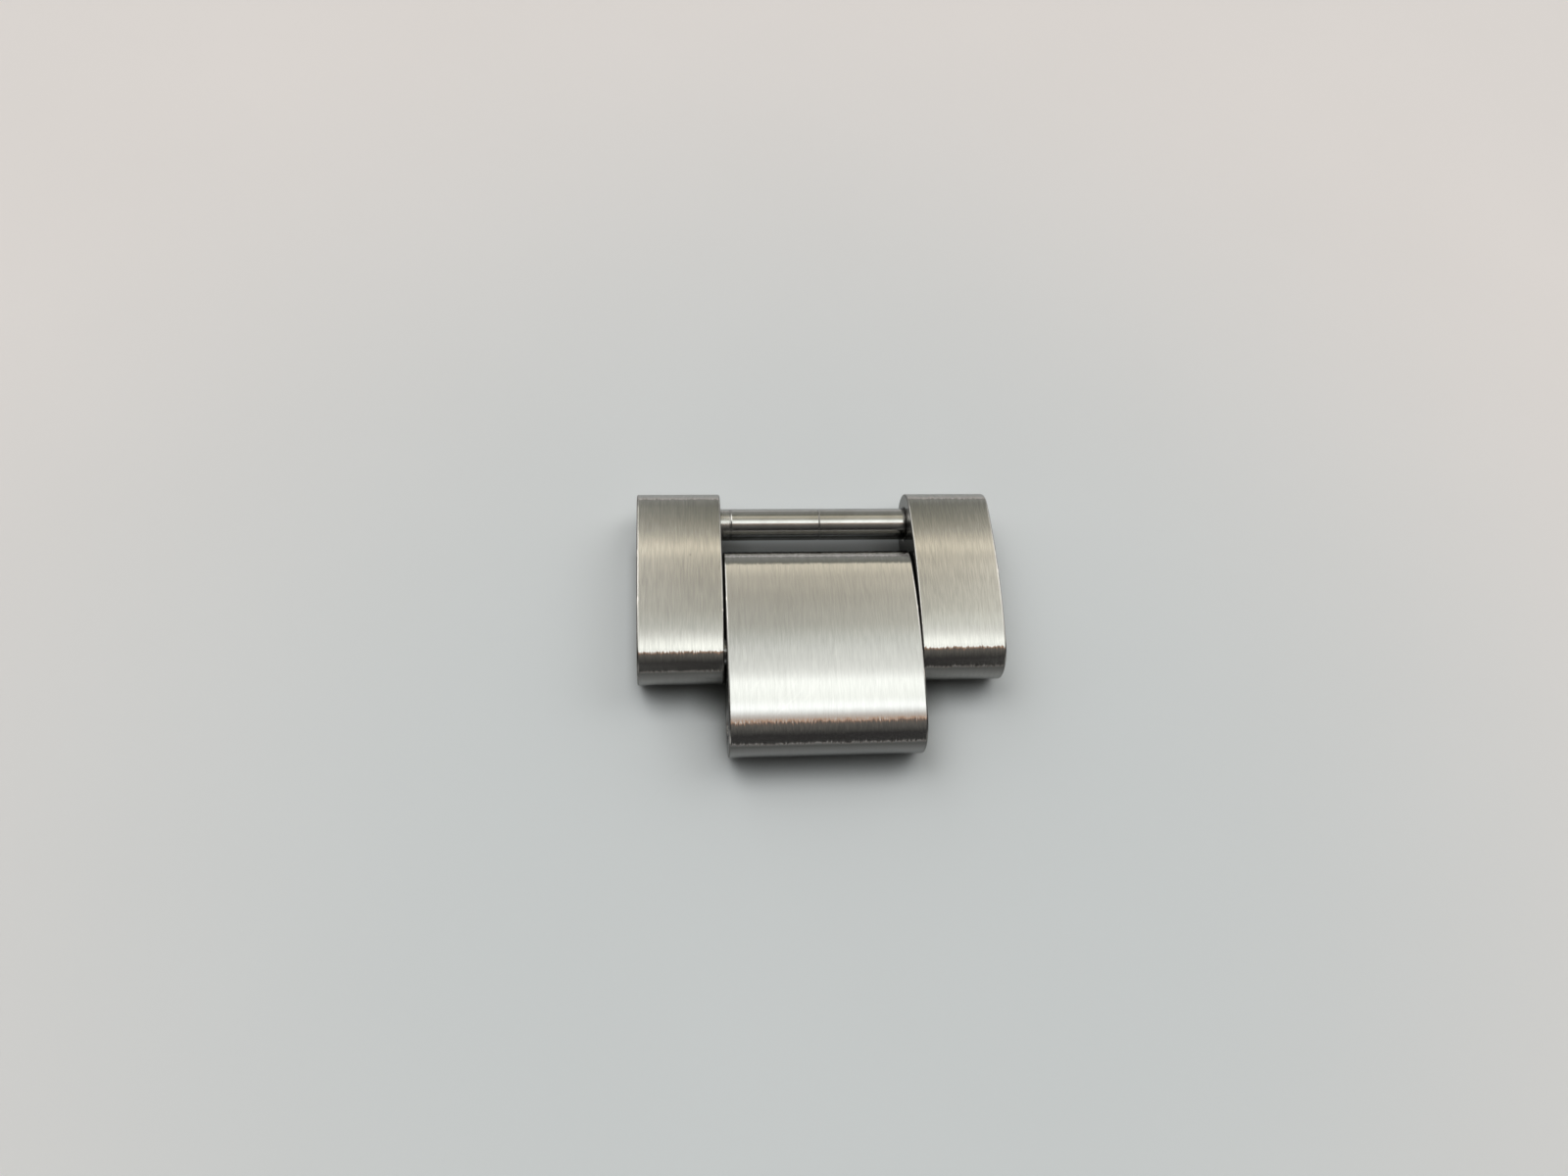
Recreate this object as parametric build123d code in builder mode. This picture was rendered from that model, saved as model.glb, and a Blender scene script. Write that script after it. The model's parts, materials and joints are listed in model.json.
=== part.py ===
"""One removable link of a three-row steel watch bracelet.

Two outer links carry a far pin and a hinge pin. The centre link turns on the
hinge pin between them and stands out towards the wearer's next link, where
its open bore takes that link's far pin. The far pin is in two halves that
screw together at a seam between the outer links.

Millimetres. +X runs across the bracelet, +Y along it, from the open bore to
the far pin, and +Z up from the face that lies on the wrist. The origin is
below the middle of the whole link, on that face.
"""

from build123d import *
import math
import os

# Widths across the bracelet
overall_width = 17.0
outer_link_width = 3.95
side_gap = 0.09

# The side outline that the three links share
end_radius = 1.48
crown_radius = 19.5
edge_round = 0.08

# Places along the bracelet: the centre link's far end stays clear of the far pin
outer_pin_spacing = 6.57
far_pin_gap = 0.82

# Far pin, in two halves
pin_diameter = 1.54
pin_bore_clearance = 0.05
seam_offset = 0.26
seam_chamfer = 0.04
ring_from_seam = 4.29
ring_width = 0.12
ring_depth = 0.03
head_diameter = 2.1
head_height = 0.6
head_recess = 0.04
head_chamfer = 0.08
head_seat_gap = 0.02
head_side_clearance = 0.05
slot_width = 0.3
slot_depth = 0.28
slot_turn = 25.0

# Screw thread between the halves
thread_diameter = 0.96
thread_depth = 0.09
thread_pitch = 0.25
thread_length = 2.75
thread_relief = 0.2
thread_point = 0.2
thread_clearance = 0.03
tapped_depth = 3.5
drill_point_angle = 118.0

# Hinge pin
hinge_pin_diameter = 1.3
hinge_pin_recess = 0.03
hinge_pin_chamfer = 0.06
hinge_running_clearance = 0.04

# Broken edges at the mouths of the bores, and how far a cut runs past a face
mouth_chamfer = 0.06
overrun = 1.0

# Places worked out from the sizes above
hinge_to_open_bore = outer_pin_spacing - pin_diameter / 2 - far_pin_gap - end_radius
total_length = outer_pin_spacing + 2 * end_radius + hinge_to_open_bore
far_pin_y = total_length / 2 - end_radius
hinge_y = far_pin_y - outer_pin_spacing
open_bore_y = hinge_y - hinge_to_open_bore
centre_far_y = hinge_y + hinge_to_open_bore
axis_height = end_radius
outer_face_x = overall_width / 2
inner_face_x = outer_face_x - outer_link_width
centre_face_x = inner_face_x - side_gap
centre_link_width = 2 * centre_face_x
pin_radius = pin_diameter / 2
pin_bore_radius = pin_radius + pin_bore_clearance
head_radius = head_diameter / 2
hinge_pin_radius = hinge_pin_diameter / 2
hinge_bore_radius = hinge_pin_radius + hinge_running_clearance


def link_profile(near_y, far_y):
    """Side outline of a link: a flat foot, two full round ends and a crown.

    near_y and far_y are the centres of the round ends.
    """
    middle_y = (near_y + far_y) / 2
    half_spacing = (far_y - near_y) / 2
    to_end_centre = crown_radius - end_radius
    crown_centre_z = axis_height - math.sqrt(to_end_centre**2 - half_spacing**2)
    blend = crown_radius / to_end_centre
    blend_y = half_spacing * blend
    blend_z = crown_centre_z + (axis_height - crown_centre_z) * blend
    with BuildSketch() as profile:
        with BuildLine():
            ThreePointArc(
                (far_y, 0),
                (far_y + end_radius, axis_height),
                (middle_y + blend_y, blend_z),
            )
            ThreePointArc(
                (middle_y + blend_y, blend_z),
                (middle_y, crown_centre_z + crown_radius),
                (middle_y - blend_y, blend_z),
            )
            ThreePointArc(
                (middle_y - blend_y, blend_z),
                (near_y - end_radius, axis_height),
                (near_y, 0),
            )
            Line((near_y, 0), (far_y, 0))
        make_face()
    return profile.sketch


def cross_plane(x, y, toward):
    """Plane on a pin's axis at x and y, facing -X or +X by the sign of toward."""
    return Plane(origin=(x, y, axis_height), x_dir=(0, 1, 0), z_dir=(toward, 0, 0))


def along_pin(y):
    """Plane through a pin's axis, with its own x along +X and its own y up."""
    return Plane(origin=(0, y, axis_height), x_dir=(1, 0, 0), z_dir=(0, -1, 0))


def ring_points(x):
    """Three points of the shallow ring turned into the pin at x."""
    half_ring = ring_width / 2
    return [
        (x - half_ring, pin_radius),
        (x, pin_radius - ring_depth),
        (x + half_ring, pin_radius),
    ]


# Left outer link: both pins pass through it, and the far pin's head sinks in
with BuildPart() as left_outer_link:
    with BuildSketch(Plane.YZ.offset(-outer_face_x)):
        add(link_profile(hinge_y, far_pin_y))
    extrude(amount=outer_link_width)
    side_edges = left_outer_link.faces().filter_by(Axis.X).edges()
    fillet(side_edges, radius=edge_round)
    with Locations(cross_plane(-outer_face_x, far_pin_y, -1)):
        CounterBoreHole(
            radius=pin_bore_radius,
            counter_bore_radius=head_radius + head_side_clearance,
            counter_bore_depth=head_recess + head_height + head_seat_gap,
        )
    with Locations(cross_plane(-outer_face_x, hinge_y, -1)):
        Hole(radius=hinge_pin_radius)
    inner_face = left_outer_link.faces().filter_by(Axis.X).sort_by(Axis.X)[-1]
    chamfer(inner_face.inner_wires().edges(), length=mouth_chamfer)
    outer_face = left_outer_link.faces().filter_by(Axis.X).sort_by(Axis.X)[0]
    chamfer(outer_face.inner_wires().edges(), length=hinge_pin_chamfer)

# Right outer link: the left one mirrored
with BuildPart() as right_outer_link:
    mirror(left_outer_link.part, about=Plane.YZ)

# Centre link: the hinge pin runs through its middle, and the bore at its
# near end is left open for the next link's far pin
with BuildPart() as centre_link:
    with BuildSketch(Plane.YZ.offset(-centre_face_x)):
        add(link_profile(open_bore_y, centre_far_y))
    extrude(amount=centre_link_width)
    side_edges = centre_link.faces().filter_by(Axis.X).edges()
    fillet(side_edges, radius=edge_round)
    with Locations(cross_plane(-centre_face_x, hinge_y, -1)):
        Hole(radius=hinge_bore_radius)
    with Locations(cross_plane(-centre_face_x, open_bore_y, -1)):
        Hole(radius=pin_bore_radius)
    mouths = centre_link.faces().filter_by(Axis.X)
    chamfer([wire.edges() for face in mouths for wire in face.inner_wires()], length=mouth_chamfer)

# Hinge pin: pressed into both outer links, running in the centre link
with BuildPart() as hinge_pin:
    with BuildSketch(Plane.YZ.offset(hinge_pin_recess - outer_face_x)):
        with Locations((hinge_y, axis_height)):
            Circle(hinge_pin_radius)
    extrude(amount=overall_width - 2 * hinge_pin_recess)
    chamfer(hinge_pin.edges().filter_by(GeomType.CIRCLE), length=hinge_pin_chamfer)

# Places along the far pin
left_head_x = head_recess - outer_face_x
right_head_x = outer_face_x - head_recess
spigot_radius = thread_diameter / 2 - thread_depth
crest_radius = thread_diameter / 2
thread_start_x = seam_offset + thread_relief
thread_turns = int(thread_length // thread_pitch)

# The threaded spigot's side, one ridge for each turn
thread_points = []
for turn in range(thread_turns):
    valley_x = thread_start_x + turn * thread_pitch
    thread_points.append((valley_x, spigot_radius))
    thread_points.append((valley_x + thread_pitch / 2, crest_radius))
thread_end_x = thread_start_x + thread_turns * thread_pitch

# Screw half of the far pin: head, left part of the pin and threaded spigot
with BuildPart() as pin_screw:
    with BuildSketch(along_pin(far_pin_y)):
        with BuildLine():
            Polyline(
                (left_head_x, 0),
                (left_head_x, head_radius - head_chamfer),
                (left_head_x + head_chamfer, head_radius),
                (left_head_x + head_height, head_radius),
                (left_head_x + head_height, pin_radius),
                *ring_points(seam_offset - ring_from_seam),
                (seam_offset - seam_chamfer, pin_radius),
                (seam_offset, pin_radius - seam_chamfer),
                (seam_offset, spigot_radius),
                *thread_points,
                (thread_end_x, spigot_radius),
                (thread_end_x + thread_point, spigot_radius - thread_depth),
                (thread_end_x + thread_point, 0),
                close=True,
            )
        make_face()
    revolve(axis=Axis((0, far_pin_y, axis_height), (1, 0, 0)))
    with BuildSketch(cross_plane(left_head_x, far_pin_y, -1)):
        Rectangle(head_diameter + overrun, slot_width, rotation=slot_turn)
    extrude(amount=-slot_depth, mode=Mode.SUBTRACT)

# Tapped half of the far pin: right part of the pin, head and tapped bore
with BuildPart() as pin_tube:
    tapped_radius = crest_radius + thread_clearance
    tapped_end_x = seam_offset + tapped_depth
    drill_point = tapped_radius / math.tan(math.radians(drill_point_angle / 2))
    with BuildSketch(along_pin(far_pin_y)):
        with BuildLine():
            Polyline(
                (right_head_x, 0),
                (right_head_x, head_radius - head_chamfer),
                (right_head_x - head_chamfer, head_radius),
                (right_head_x - head_height, head_radius),
                (right_head_x - head_height, pin_radius),
                *reversed(ring_points(seam_offset + ring_from_seam)),
                (seam_offset + seam_chamfer, pin_radius),
                (seam_offset, pin_radius - seam_chamfer),
                (seam_offset, tapped_radius + mouth_chamfer),
                (seam_offset + mouth_chamfer, tapped_radius),
                (tapped_end_x, tapped_radius),
                (tapped_end_x + drill_point, 0),
                close=True,
            )
        make_face()
    revolve(axis=Axis((0, far_pin_y, axis_height), (1, 0, 0)))
    with BuildSketch(cross_plane(right_head_x, far_pin_y, 1)):
        Rectangle(head_diameter + overrun, slot_width, rotation=slot_turn)
    extrude(amount=-slot_depth, mode=Mode.SUBTRACT)

pieces = {
    "left_outer_link": left_outer_link,
    "right_outer_link": right_outer_link,
    "centre_link": centre_link,
    "hinge_pin": hinge_pin,
    "pin_screw": pin_screw,
    "pin_tube": pin_tube,
}
os.makedirs("parts", exist_ok=True)
for name, piece in pieces.items():
    piece.part.label = name
    export_step(piece.part, f"parts/{name}.step")

print("whole link", overall_width, "wide,", round(total_length, 3), "long")
print("pitch from far pin to open bore", round(far_pin_y - open_bore_y, 3))
print("far pin y", far_pin_y, "hinge y", hinge_y, "open bore y", open_bore_y)
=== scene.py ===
"""Looks of a removable watch bracelet link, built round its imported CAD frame.

Everything is in metres and in the frame of the CAD: +X runs across the
bracelet, +Y along it towards the far pin, and +Z up from the wrist side.
The three bars are lofted from the outline that they share, and the pins are
turned by a Geometry Nodes lathe that also cuts the screw thread.
"""

import json
import logging
import math
from collections.abc import Sequence
from dataclasses import dataclass, replace
from enum import Enum

import bmesh
import bpy
from mathutils import Matrix, Vector


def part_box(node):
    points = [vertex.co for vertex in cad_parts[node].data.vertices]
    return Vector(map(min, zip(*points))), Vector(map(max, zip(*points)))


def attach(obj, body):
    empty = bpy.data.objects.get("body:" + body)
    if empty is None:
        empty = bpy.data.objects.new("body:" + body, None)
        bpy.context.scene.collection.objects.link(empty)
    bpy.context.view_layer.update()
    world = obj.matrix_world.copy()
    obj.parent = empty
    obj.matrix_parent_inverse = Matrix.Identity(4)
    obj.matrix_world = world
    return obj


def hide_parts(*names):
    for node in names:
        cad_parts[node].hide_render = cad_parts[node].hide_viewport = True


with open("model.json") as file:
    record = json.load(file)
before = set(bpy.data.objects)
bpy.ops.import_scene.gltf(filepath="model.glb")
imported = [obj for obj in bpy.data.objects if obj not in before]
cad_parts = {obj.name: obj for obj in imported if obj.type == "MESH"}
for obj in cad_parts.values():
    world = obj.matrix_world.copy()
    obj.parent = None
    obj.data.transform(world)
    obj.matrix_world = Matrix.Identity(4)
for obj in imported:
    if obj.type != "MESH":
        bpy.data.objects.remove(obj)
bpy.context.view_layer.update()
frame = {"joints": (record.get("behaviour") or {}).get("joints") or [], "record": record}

log = logging.getLogger("bracelet_link")

MM = 0.001
GRAIN_MAP = "grain"
ROUND_MASK = "edge_round"
BORE_MASK = "bore_wall"
CROWN_LEAN = "crown_lean"
NEAR_WEAR = "near_wear"
SHOULDER_WEAR = "shoulder_wear"

# The span that most of a noise's values lie in, and its middle
NOISE_SPAN = (0.3, 0.7)
NOISE_MIDDLE = 0.5
# Red and green of a normal map that tilts nothing
NO_TILT = 0.5

Colour = tuple[float, float, float]
Band = tuple[float, Colour]
Profile = Sequence[tuple[float, float]]
Socket = bpy.types.NodeSocket


class Side(Enum):
    """Side of the bracelet, by the sign of X."""

    LEFT = -1
    RIGHT = 1


class Slot(Enum):
    """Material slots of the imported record."""

    BRUSHED_LINK = "brushed_link"
    POLISHED_PIN = "polished_pin"


class Body(Enum):
    """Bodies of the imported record."""

    SIDE_LINKS = "side_links"
    CENTRE = "centre"
    SCREW_HALF = "screw_half"
    TAPPED_HALF = "tapped_half"


def joint_place(name: str) -> Vector:
    """Finds where a joint of the record stands.

    Args:
        name: the joint's name.

    Returns:
        Its place in metres.
    """
    for joint in frame["joints"]:
        if joint["name"] == name:
            return Vector(joint["pos_m"])
    raise KeyError(name)


def mount_of(name: str) -> dict:
    """Finds a mount of the record.

    Args:
        name: the mount's name.

    Returns:
        The mount as the record gives it.
    """
    for mount in frame["record"]["mounts"]:
        if mount["name"] == name:
            return mount
    raise KeyError(name)


def ramp(value: float, start: float, end: float) -> float:
    """Tells how far a value has come from a start to an end, from 0 to 1."""
    return min(max((value - start) / (end - start), 0.0), 1.0)


def rgba(colour: Colour) -> tuple[float, float, float, float]:
    """Gives a colour its alpha."""
    return (*colour, 1.0)


class NodeSheet:
    """A node tree, with short ways to add nodes and join them."""

    def __init__(self, tree: bpy.types.NodeTree) -> None:
        """Takes the node tree to draw in."""
        self.tree = tree

    def add(self, kind: str, inputs: dict | None = None, **settings: object) -> bpy.types.Node:
        """Adds a node.

        Args:
            kind: the node's type name.
            inputs: values or sockets for its inputs, by name or place.
            settings: values for the node's own properties.

        Returns:
            The new node.
        """
        node = self.tree.nodes.new(kind)
        for name, value in settings.items():
            setattr(node, name, value)
        for name, value in (inputs or {}).items():
            self.feed(node, name, value)
        return node

    def feed(self, node: bpy.types.Node, name: str | int, value: object) -> None:
        """Gives one input of a node a value or a link.

        Args:
            node: the node.
            name: the input's name or place.
            value: a plain value, or the socket to link from.
        """
        socket = node.inputs[name]
        if isinstance(value, Socket):
            self.tree.links.new(value, socket)
        else:
            socket.default_value = value

    def maths(self, operation: str, *values: object, clamp: bool = False) -> Socket:
        """Adds a Math node.

        Args:
            operation: the operation's name.
            values: its inputs in order, plain or linked.
            clamp: whether the result is kept from 0 to 1.

        Returns:
            The result's socket.
        """
        inputs = dict(enumerate(values))
        node = self.add("ShaderNodeMath", inputs, operation=operation, use_clamp=clamp)
        return node.outputs[0]

    def plus(self, first: object, second: object) -> Socket:
        """Adds two values."""
        return self.maths("ADD", first, second)

    def minus(self, first: object, second: object) -> Socket:
        """Takes the second value from the first."""
        return self.maths("SUBTRACT", first, second)

    def times(self, first: object, second: object) -> Socket:
        """Multiplies two values."""
        return self.maths("MULTIPLY", first, second)

    def over(self, first: object, second: object) -> Socket:
        """Divides the first value by the second."""
        return self.maths("DIVIDE", first, second)

    def unsigned(self, value: object) -> Socket:
        """Takes the sign off a value."""
        return self.maths("ABSOLUTE", value)

    def vector(self, x: object, y: object, z: object) -> Socket:
        """Joins three values into a vector."""
        return self.add("ShaderNodeCombineXYZ", {0: x, 1: y, 2: z}).outputs[0]

    def split(self, vector: Socket) -> bpy.types.bpy_prop_collection:
        """Gives the sockets of the three parts of a vector."""
        return self.add("ShaderNodeSeparateXYZ", {0: vector}).outputs

    def spread(
        self, value: object, low: float, high: float, to_low: object = 0.0, to_high: object = 1.0,
        smooth: bool = False,
    ) -> Socket:
        """Maps a range of a value to another one, and stops at its ends.

        Args:
            value: the value to map.
            low: where the range starts.
            high: where it ends.
            to_low: what the start becomes.
            to_high: what the end becomes.
            smooth: whether it eases in and out.

        Returns:
            The mapped value's socket.
        """
        kind = "SMOOTHSTEP" if smooth else "LINEAR"
        inputs = {0: value, 1: low, 2: high, 3: to_low, 4: to_high}
        return self.add("ShaderNodeMapRange", inputs, interpolation_type=kind).outputs[0]

    def blend(self, share: object, first: object, second: object) -> Socket:
        """Mixes two colours by the share of the second one."""
        return self.add("ShaderNodeMix", {0: share, 6: first, 7: second}, data_type="RGBA").outputs[2]

    def noise(
        self, place: Socket, scale: object = 1.0, detail: float = 2.0, roughness: float = 0.5
    ) -> Socket:
        """Reads soft noise at a place."""
        inputs = {"Vector": place, "Scale": scale, "Detail": detail, "Roughness": roughness}
        return self.add("ShaderNodeTexNoise", inputs).outputs[0]

    def attribute(self, name: str) -> Socket:
        """Reads a value that the mesh carries."""
        return self.add("ShaderNodeAttribute", attribute_name=name).outputs["Fac"]

    def group(self, tree: bpy.types.NodeTree, inputs: dict) -> bpy.types.bpy_prop_collection:
        """Places a node group, and gives the sockets of its outputs."""
        return self.add("ShaderNodeGroup", inputs, node_tree=tree).outputs


def shader_group(
    name: str, inputs: dict[str, float | None], outputs: dict[str, str]
) -> tuple[NodeSheet, bpy.types.bpy_prop_collection, bpy.types.Node]:
    """Starts a shader node group.

    Args:
        name: the group's name.
        inputs: names of the inputs with their defaults, None for a vector.
        outputs: names of the outputs with their socket types.

    Returns:
        The sheet to draw in, the sockets of what the group is given, and its
        output node.
    """
    tree = bpy.data.node_groups.new(name, "ShaderNodeTree")
    for label, value in inputs.items():
        kind = "NodeSocketVector" if value is None else "NodeSocketFloat"
        socket = tree.interface.new_socket(label, in_out="INPUT", socket_type=kind)
        if value is not None:
            socket.default_value = value
    for label, kind in outputs.items():
        tree.interface.new_socket(label, in_out="OUTPUT", socket_type=kind)
    sheet = NodeSheet(tree)
    given = sheet.add("NodeGroupInput").outputs
    leave = sheet.add("NodeGroupOutput")
    return sheet, given, leave


class FinishGroups:
    """The shader node groups that the finishes share, each built once."""

    # Layers of the brushing: scale across the lines, scale along them, and shift of the seed
    FINE_LAYER = (1.0, 1.0, 0.0)
    BROAD_LAYER = (0.35, 0.3, 13.7)
    STEEP_LAYER = (0.85, 2.2, 31.3)
    FINE_SHARE = 0.75
    BRUSHING_ROUGHNESS = 0.6

    # Scratches: directions in radians, length over spacing, and how far a line reaches into the noise
    SCRATCH_TURNS = (0.35, 1.2, 2.45)
    SCRATCH_STRETCH = 14.0
    SCRATCH_SEED_STEP = 5.3
    SCRATCH_WIDTH = 0.012
    SCRATCH_GATE_SCALE = (0.31, 0.9, 1.0)
    SCRATCH_GATE = (0.56, 0.66)

    # Specks: where a dot fades out, in cells, and which cells have one
    SPECK_EDGE = (0.03, 0.06)
    SPECK_GATE = (0.75, 0.8)

    # How far above its threshold the noise has to be for a whole mark on an edge
    WEAR_STEP = 0.08

    def __init__(self) -> None:
        """Builds the groups."""
        self.brushing = self.build_brushing()
        self.scratches = self.build_scratches()
        self.specks = self.build_specks()
        self.polish_glint_group = self.build_polish_glints()

    def build_brushing(self) -> bpy.types.ShaderNodeTree:
        """Makes long fine lines along V of the map that it is fed.

        Returns:
            The group, with the lines as a value and as a tilt of the normal.
        """
        sheet, given, leave = shader_group(
            "long_brushing",
            {
                "Vector": None,
                "Line Width": 0.08 * MM,
                "Line Length": 1.5 * MM,
                "Seed": 0.0,
                "Side Tilt": 0.1,
                "Length Tilt": 0.03,
            },
            {"Lines": "NodeSocketFloat", "Tilt": "NodeSocketColor"},
        )
        u, v, _ = sheet.split(given["Vector"])
        across = sheet.over(u, given["Line Width"])
        along = sheet.over(v, given["Line Length"])

        def layer(across_scale: float, along_scale: float, shift: float) -> Socket:
            """Adds one layer of stretched noise.

            Args:
                across_scale: scale across the lines.
                along_scale: scale along them.
                shift: what is added to the seed.

            Returns:
                The layer's value.
            """
            place = sheet.vector(
                sheet.times(across, across_scale),
                sheet.times(along, along_scale),
                sheet.plus(given["Seed"], shift),
            )
            return sheet.noise(place, roughness=self.BRUSHING_ROUGHNESS)

        fine = layer(*self.FINE_LAYER)
        broad = layer(*self.BROAD_LAYER)
        steep = layer(*self.STEEP_LAYER)
        both = sheet.plus(
            sheet.times(fine, self.FINE_SHARE), sheet.times(broad, 1.0 - self.FINE_SHARE)
        )
        sheet.feed(leave, "Lines", sheet.spread(both, *NOISE_SPAN))
        side = sheet.times(sheet.minus(fine, NOISE_MIDDLE), given["Side Tilt"])
        lift = sheet.times(sheet.minus(steep, NOISE_MIDDLE), given["Length Tilt"])
        tilt = sheet.add(
            "ShaderNodeCombineColor",
            {0: sheet.plus(side, NO_TILT), 1: sheet.plus(lift, NO_TILT), 2: 1.0},
        )
        sheet.feed(leave, "Tilt", tilt.outputs[0])
        return sheet.tree

    def build_scratches(self) -> bpy.types.ShaderNodeTree:
        """Makes sparse hairline scratches in three directions.

        Returns:
            The group, with the scratches as a mask.
        """
        sheet, given, leave = shader_group(
            "hairline_scratches",
            {"Vector": None, "Spacing": 0.5 * MM, "Amount": 0.5, "Seed": 0.0},
            {"Mask": "NodeSocketFloat"},
        )
        length = sheet.times(given["Spacing"], self.SCRATCH_STRETCH)
        mask: Socket | float = 0.0
        for count, angle in enumerate(self.SCRATCH_TURNS):
            turned = sheet.add(
                "ShaderNodeVectorRotate",
                {"Vector": given["Vector"], "Angle": angle},
                rotation_type="Z_AXIS",
            )
            x, y, _ = sheet.split(turned.outputs[0])
            place = sheet.vector(
                sheet.over(x, given["Spacing"]),
                sheet.over(y, length),
                sheet.plus(given["Seed"], self.SCRATCH_SEED_STEP * count),
            )
            noise = sheet.noise(place, detail=1.0, roughness=0.4)
            ridge = sheet.unsigned(sheet.minus(noise, NOISE_MIDDLE))
            line = sheet.spread(ridge, 0.0, self.SCRATCH_WIDTH, 1.0, 0.0)
            gate_place = sheet.add(
                "ShaderNodeVectorMath", {0: place, 1: self.SCRATCH_GATE_SCALE}, operation="MULTIPLY"
            )
            gate = sheet.noise(gate_place.outputs[0], detail=0.0)
            kept = sheet.spread(gate, *self.SCRATCH_GATE)
            mask = sheet.maths("MAXIMUM", mask, sheet.times(line, kept))
        sheet.feed(leave, "Mask", sheet.times(mask, given["Amount"]))
        return sheet.tree

    def build_specks(self) -> bpy.types.ShaderNodeTree:
        """Makes sparse round specks, as of dust.

        Returns:
            The group, with the specks as a mask.
        """
        sheet, given, leave = shader_group(
            "dust_specks",
            {"Vector": None, "Spacing": 1.2 * MM, "Amount": 0.5},
            {"Mask": "NodeSocketFloat"},
        )
        scale = sheet.over(1.0, given["Spacing"])
        cells = sheet.add("ShaderNodeTexVoronoi", {"Vector": given["Vector"], "Scale": scale})
        dot = sheet.spread(cells.outputs["Distance"], *self.SPECK_EDGE, 1.0, 0.0)
        chance = sheet.add("ShaderNodeSeparateColor", {0: cells.outputs["Color"]}).outputs[0]
        kept = sheet.spread(chance, *self.SPECK_GATE)
        sheet.feed(leave, "Mask", sheet.times(sheet.times(dot, kept), given["Amount"]))
        return sheet.tree

    def build_polish_glints(self) -> bpy.types.ShaderNodeTree:
        """Makes a broken mask along the rounded edges, for flecks of polish that are painted bright as
        glints.

        Returns:
            The group, with the bright glints of polish as a mask.
        """
        sheet, given, leave = shader_group(
            "edge_polish",
            {"Vector": None, "Edge": 0.0, "Spacing": 0.6 * MM, "Threshold": 0.58},
            {"Mask": "NodeSocketFloat"},
        )
        noise = sheet.noise(given["Vector"], sheet.over(1.0, given["Spacing"]), detail=3.0)
        above = sheet.spread(sheet.minus(noise, given["Threshold"]), 0.0, self.WEAR_STEP)
        sheet.feed(leave, "Mask", sheet.times(given["Edge"], above))
        return sheet.tree


def new_material(name: str) -> tuple[bpy.types.Material, NodeSheet, bpy.types.Node]:
    """Starts a material with a bare Principled shader.

    Args:
        name: the material's name.

    Returns:
        The material, its sheet and its shader node.
    """
    material = bpy.data.materials.new(name)
    material.use_nodes = True
    material.node_tree.nodes.clear()
    sheet = NodeSheet(material.node_tree)
    shader = sheet.add("ShaderNodeBsdfPrincipled")
    sheet.add("ShaderNodeOutputMaterial", {"Surface": shader.outputs[0]})
    return material, sheet, shader


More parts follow.
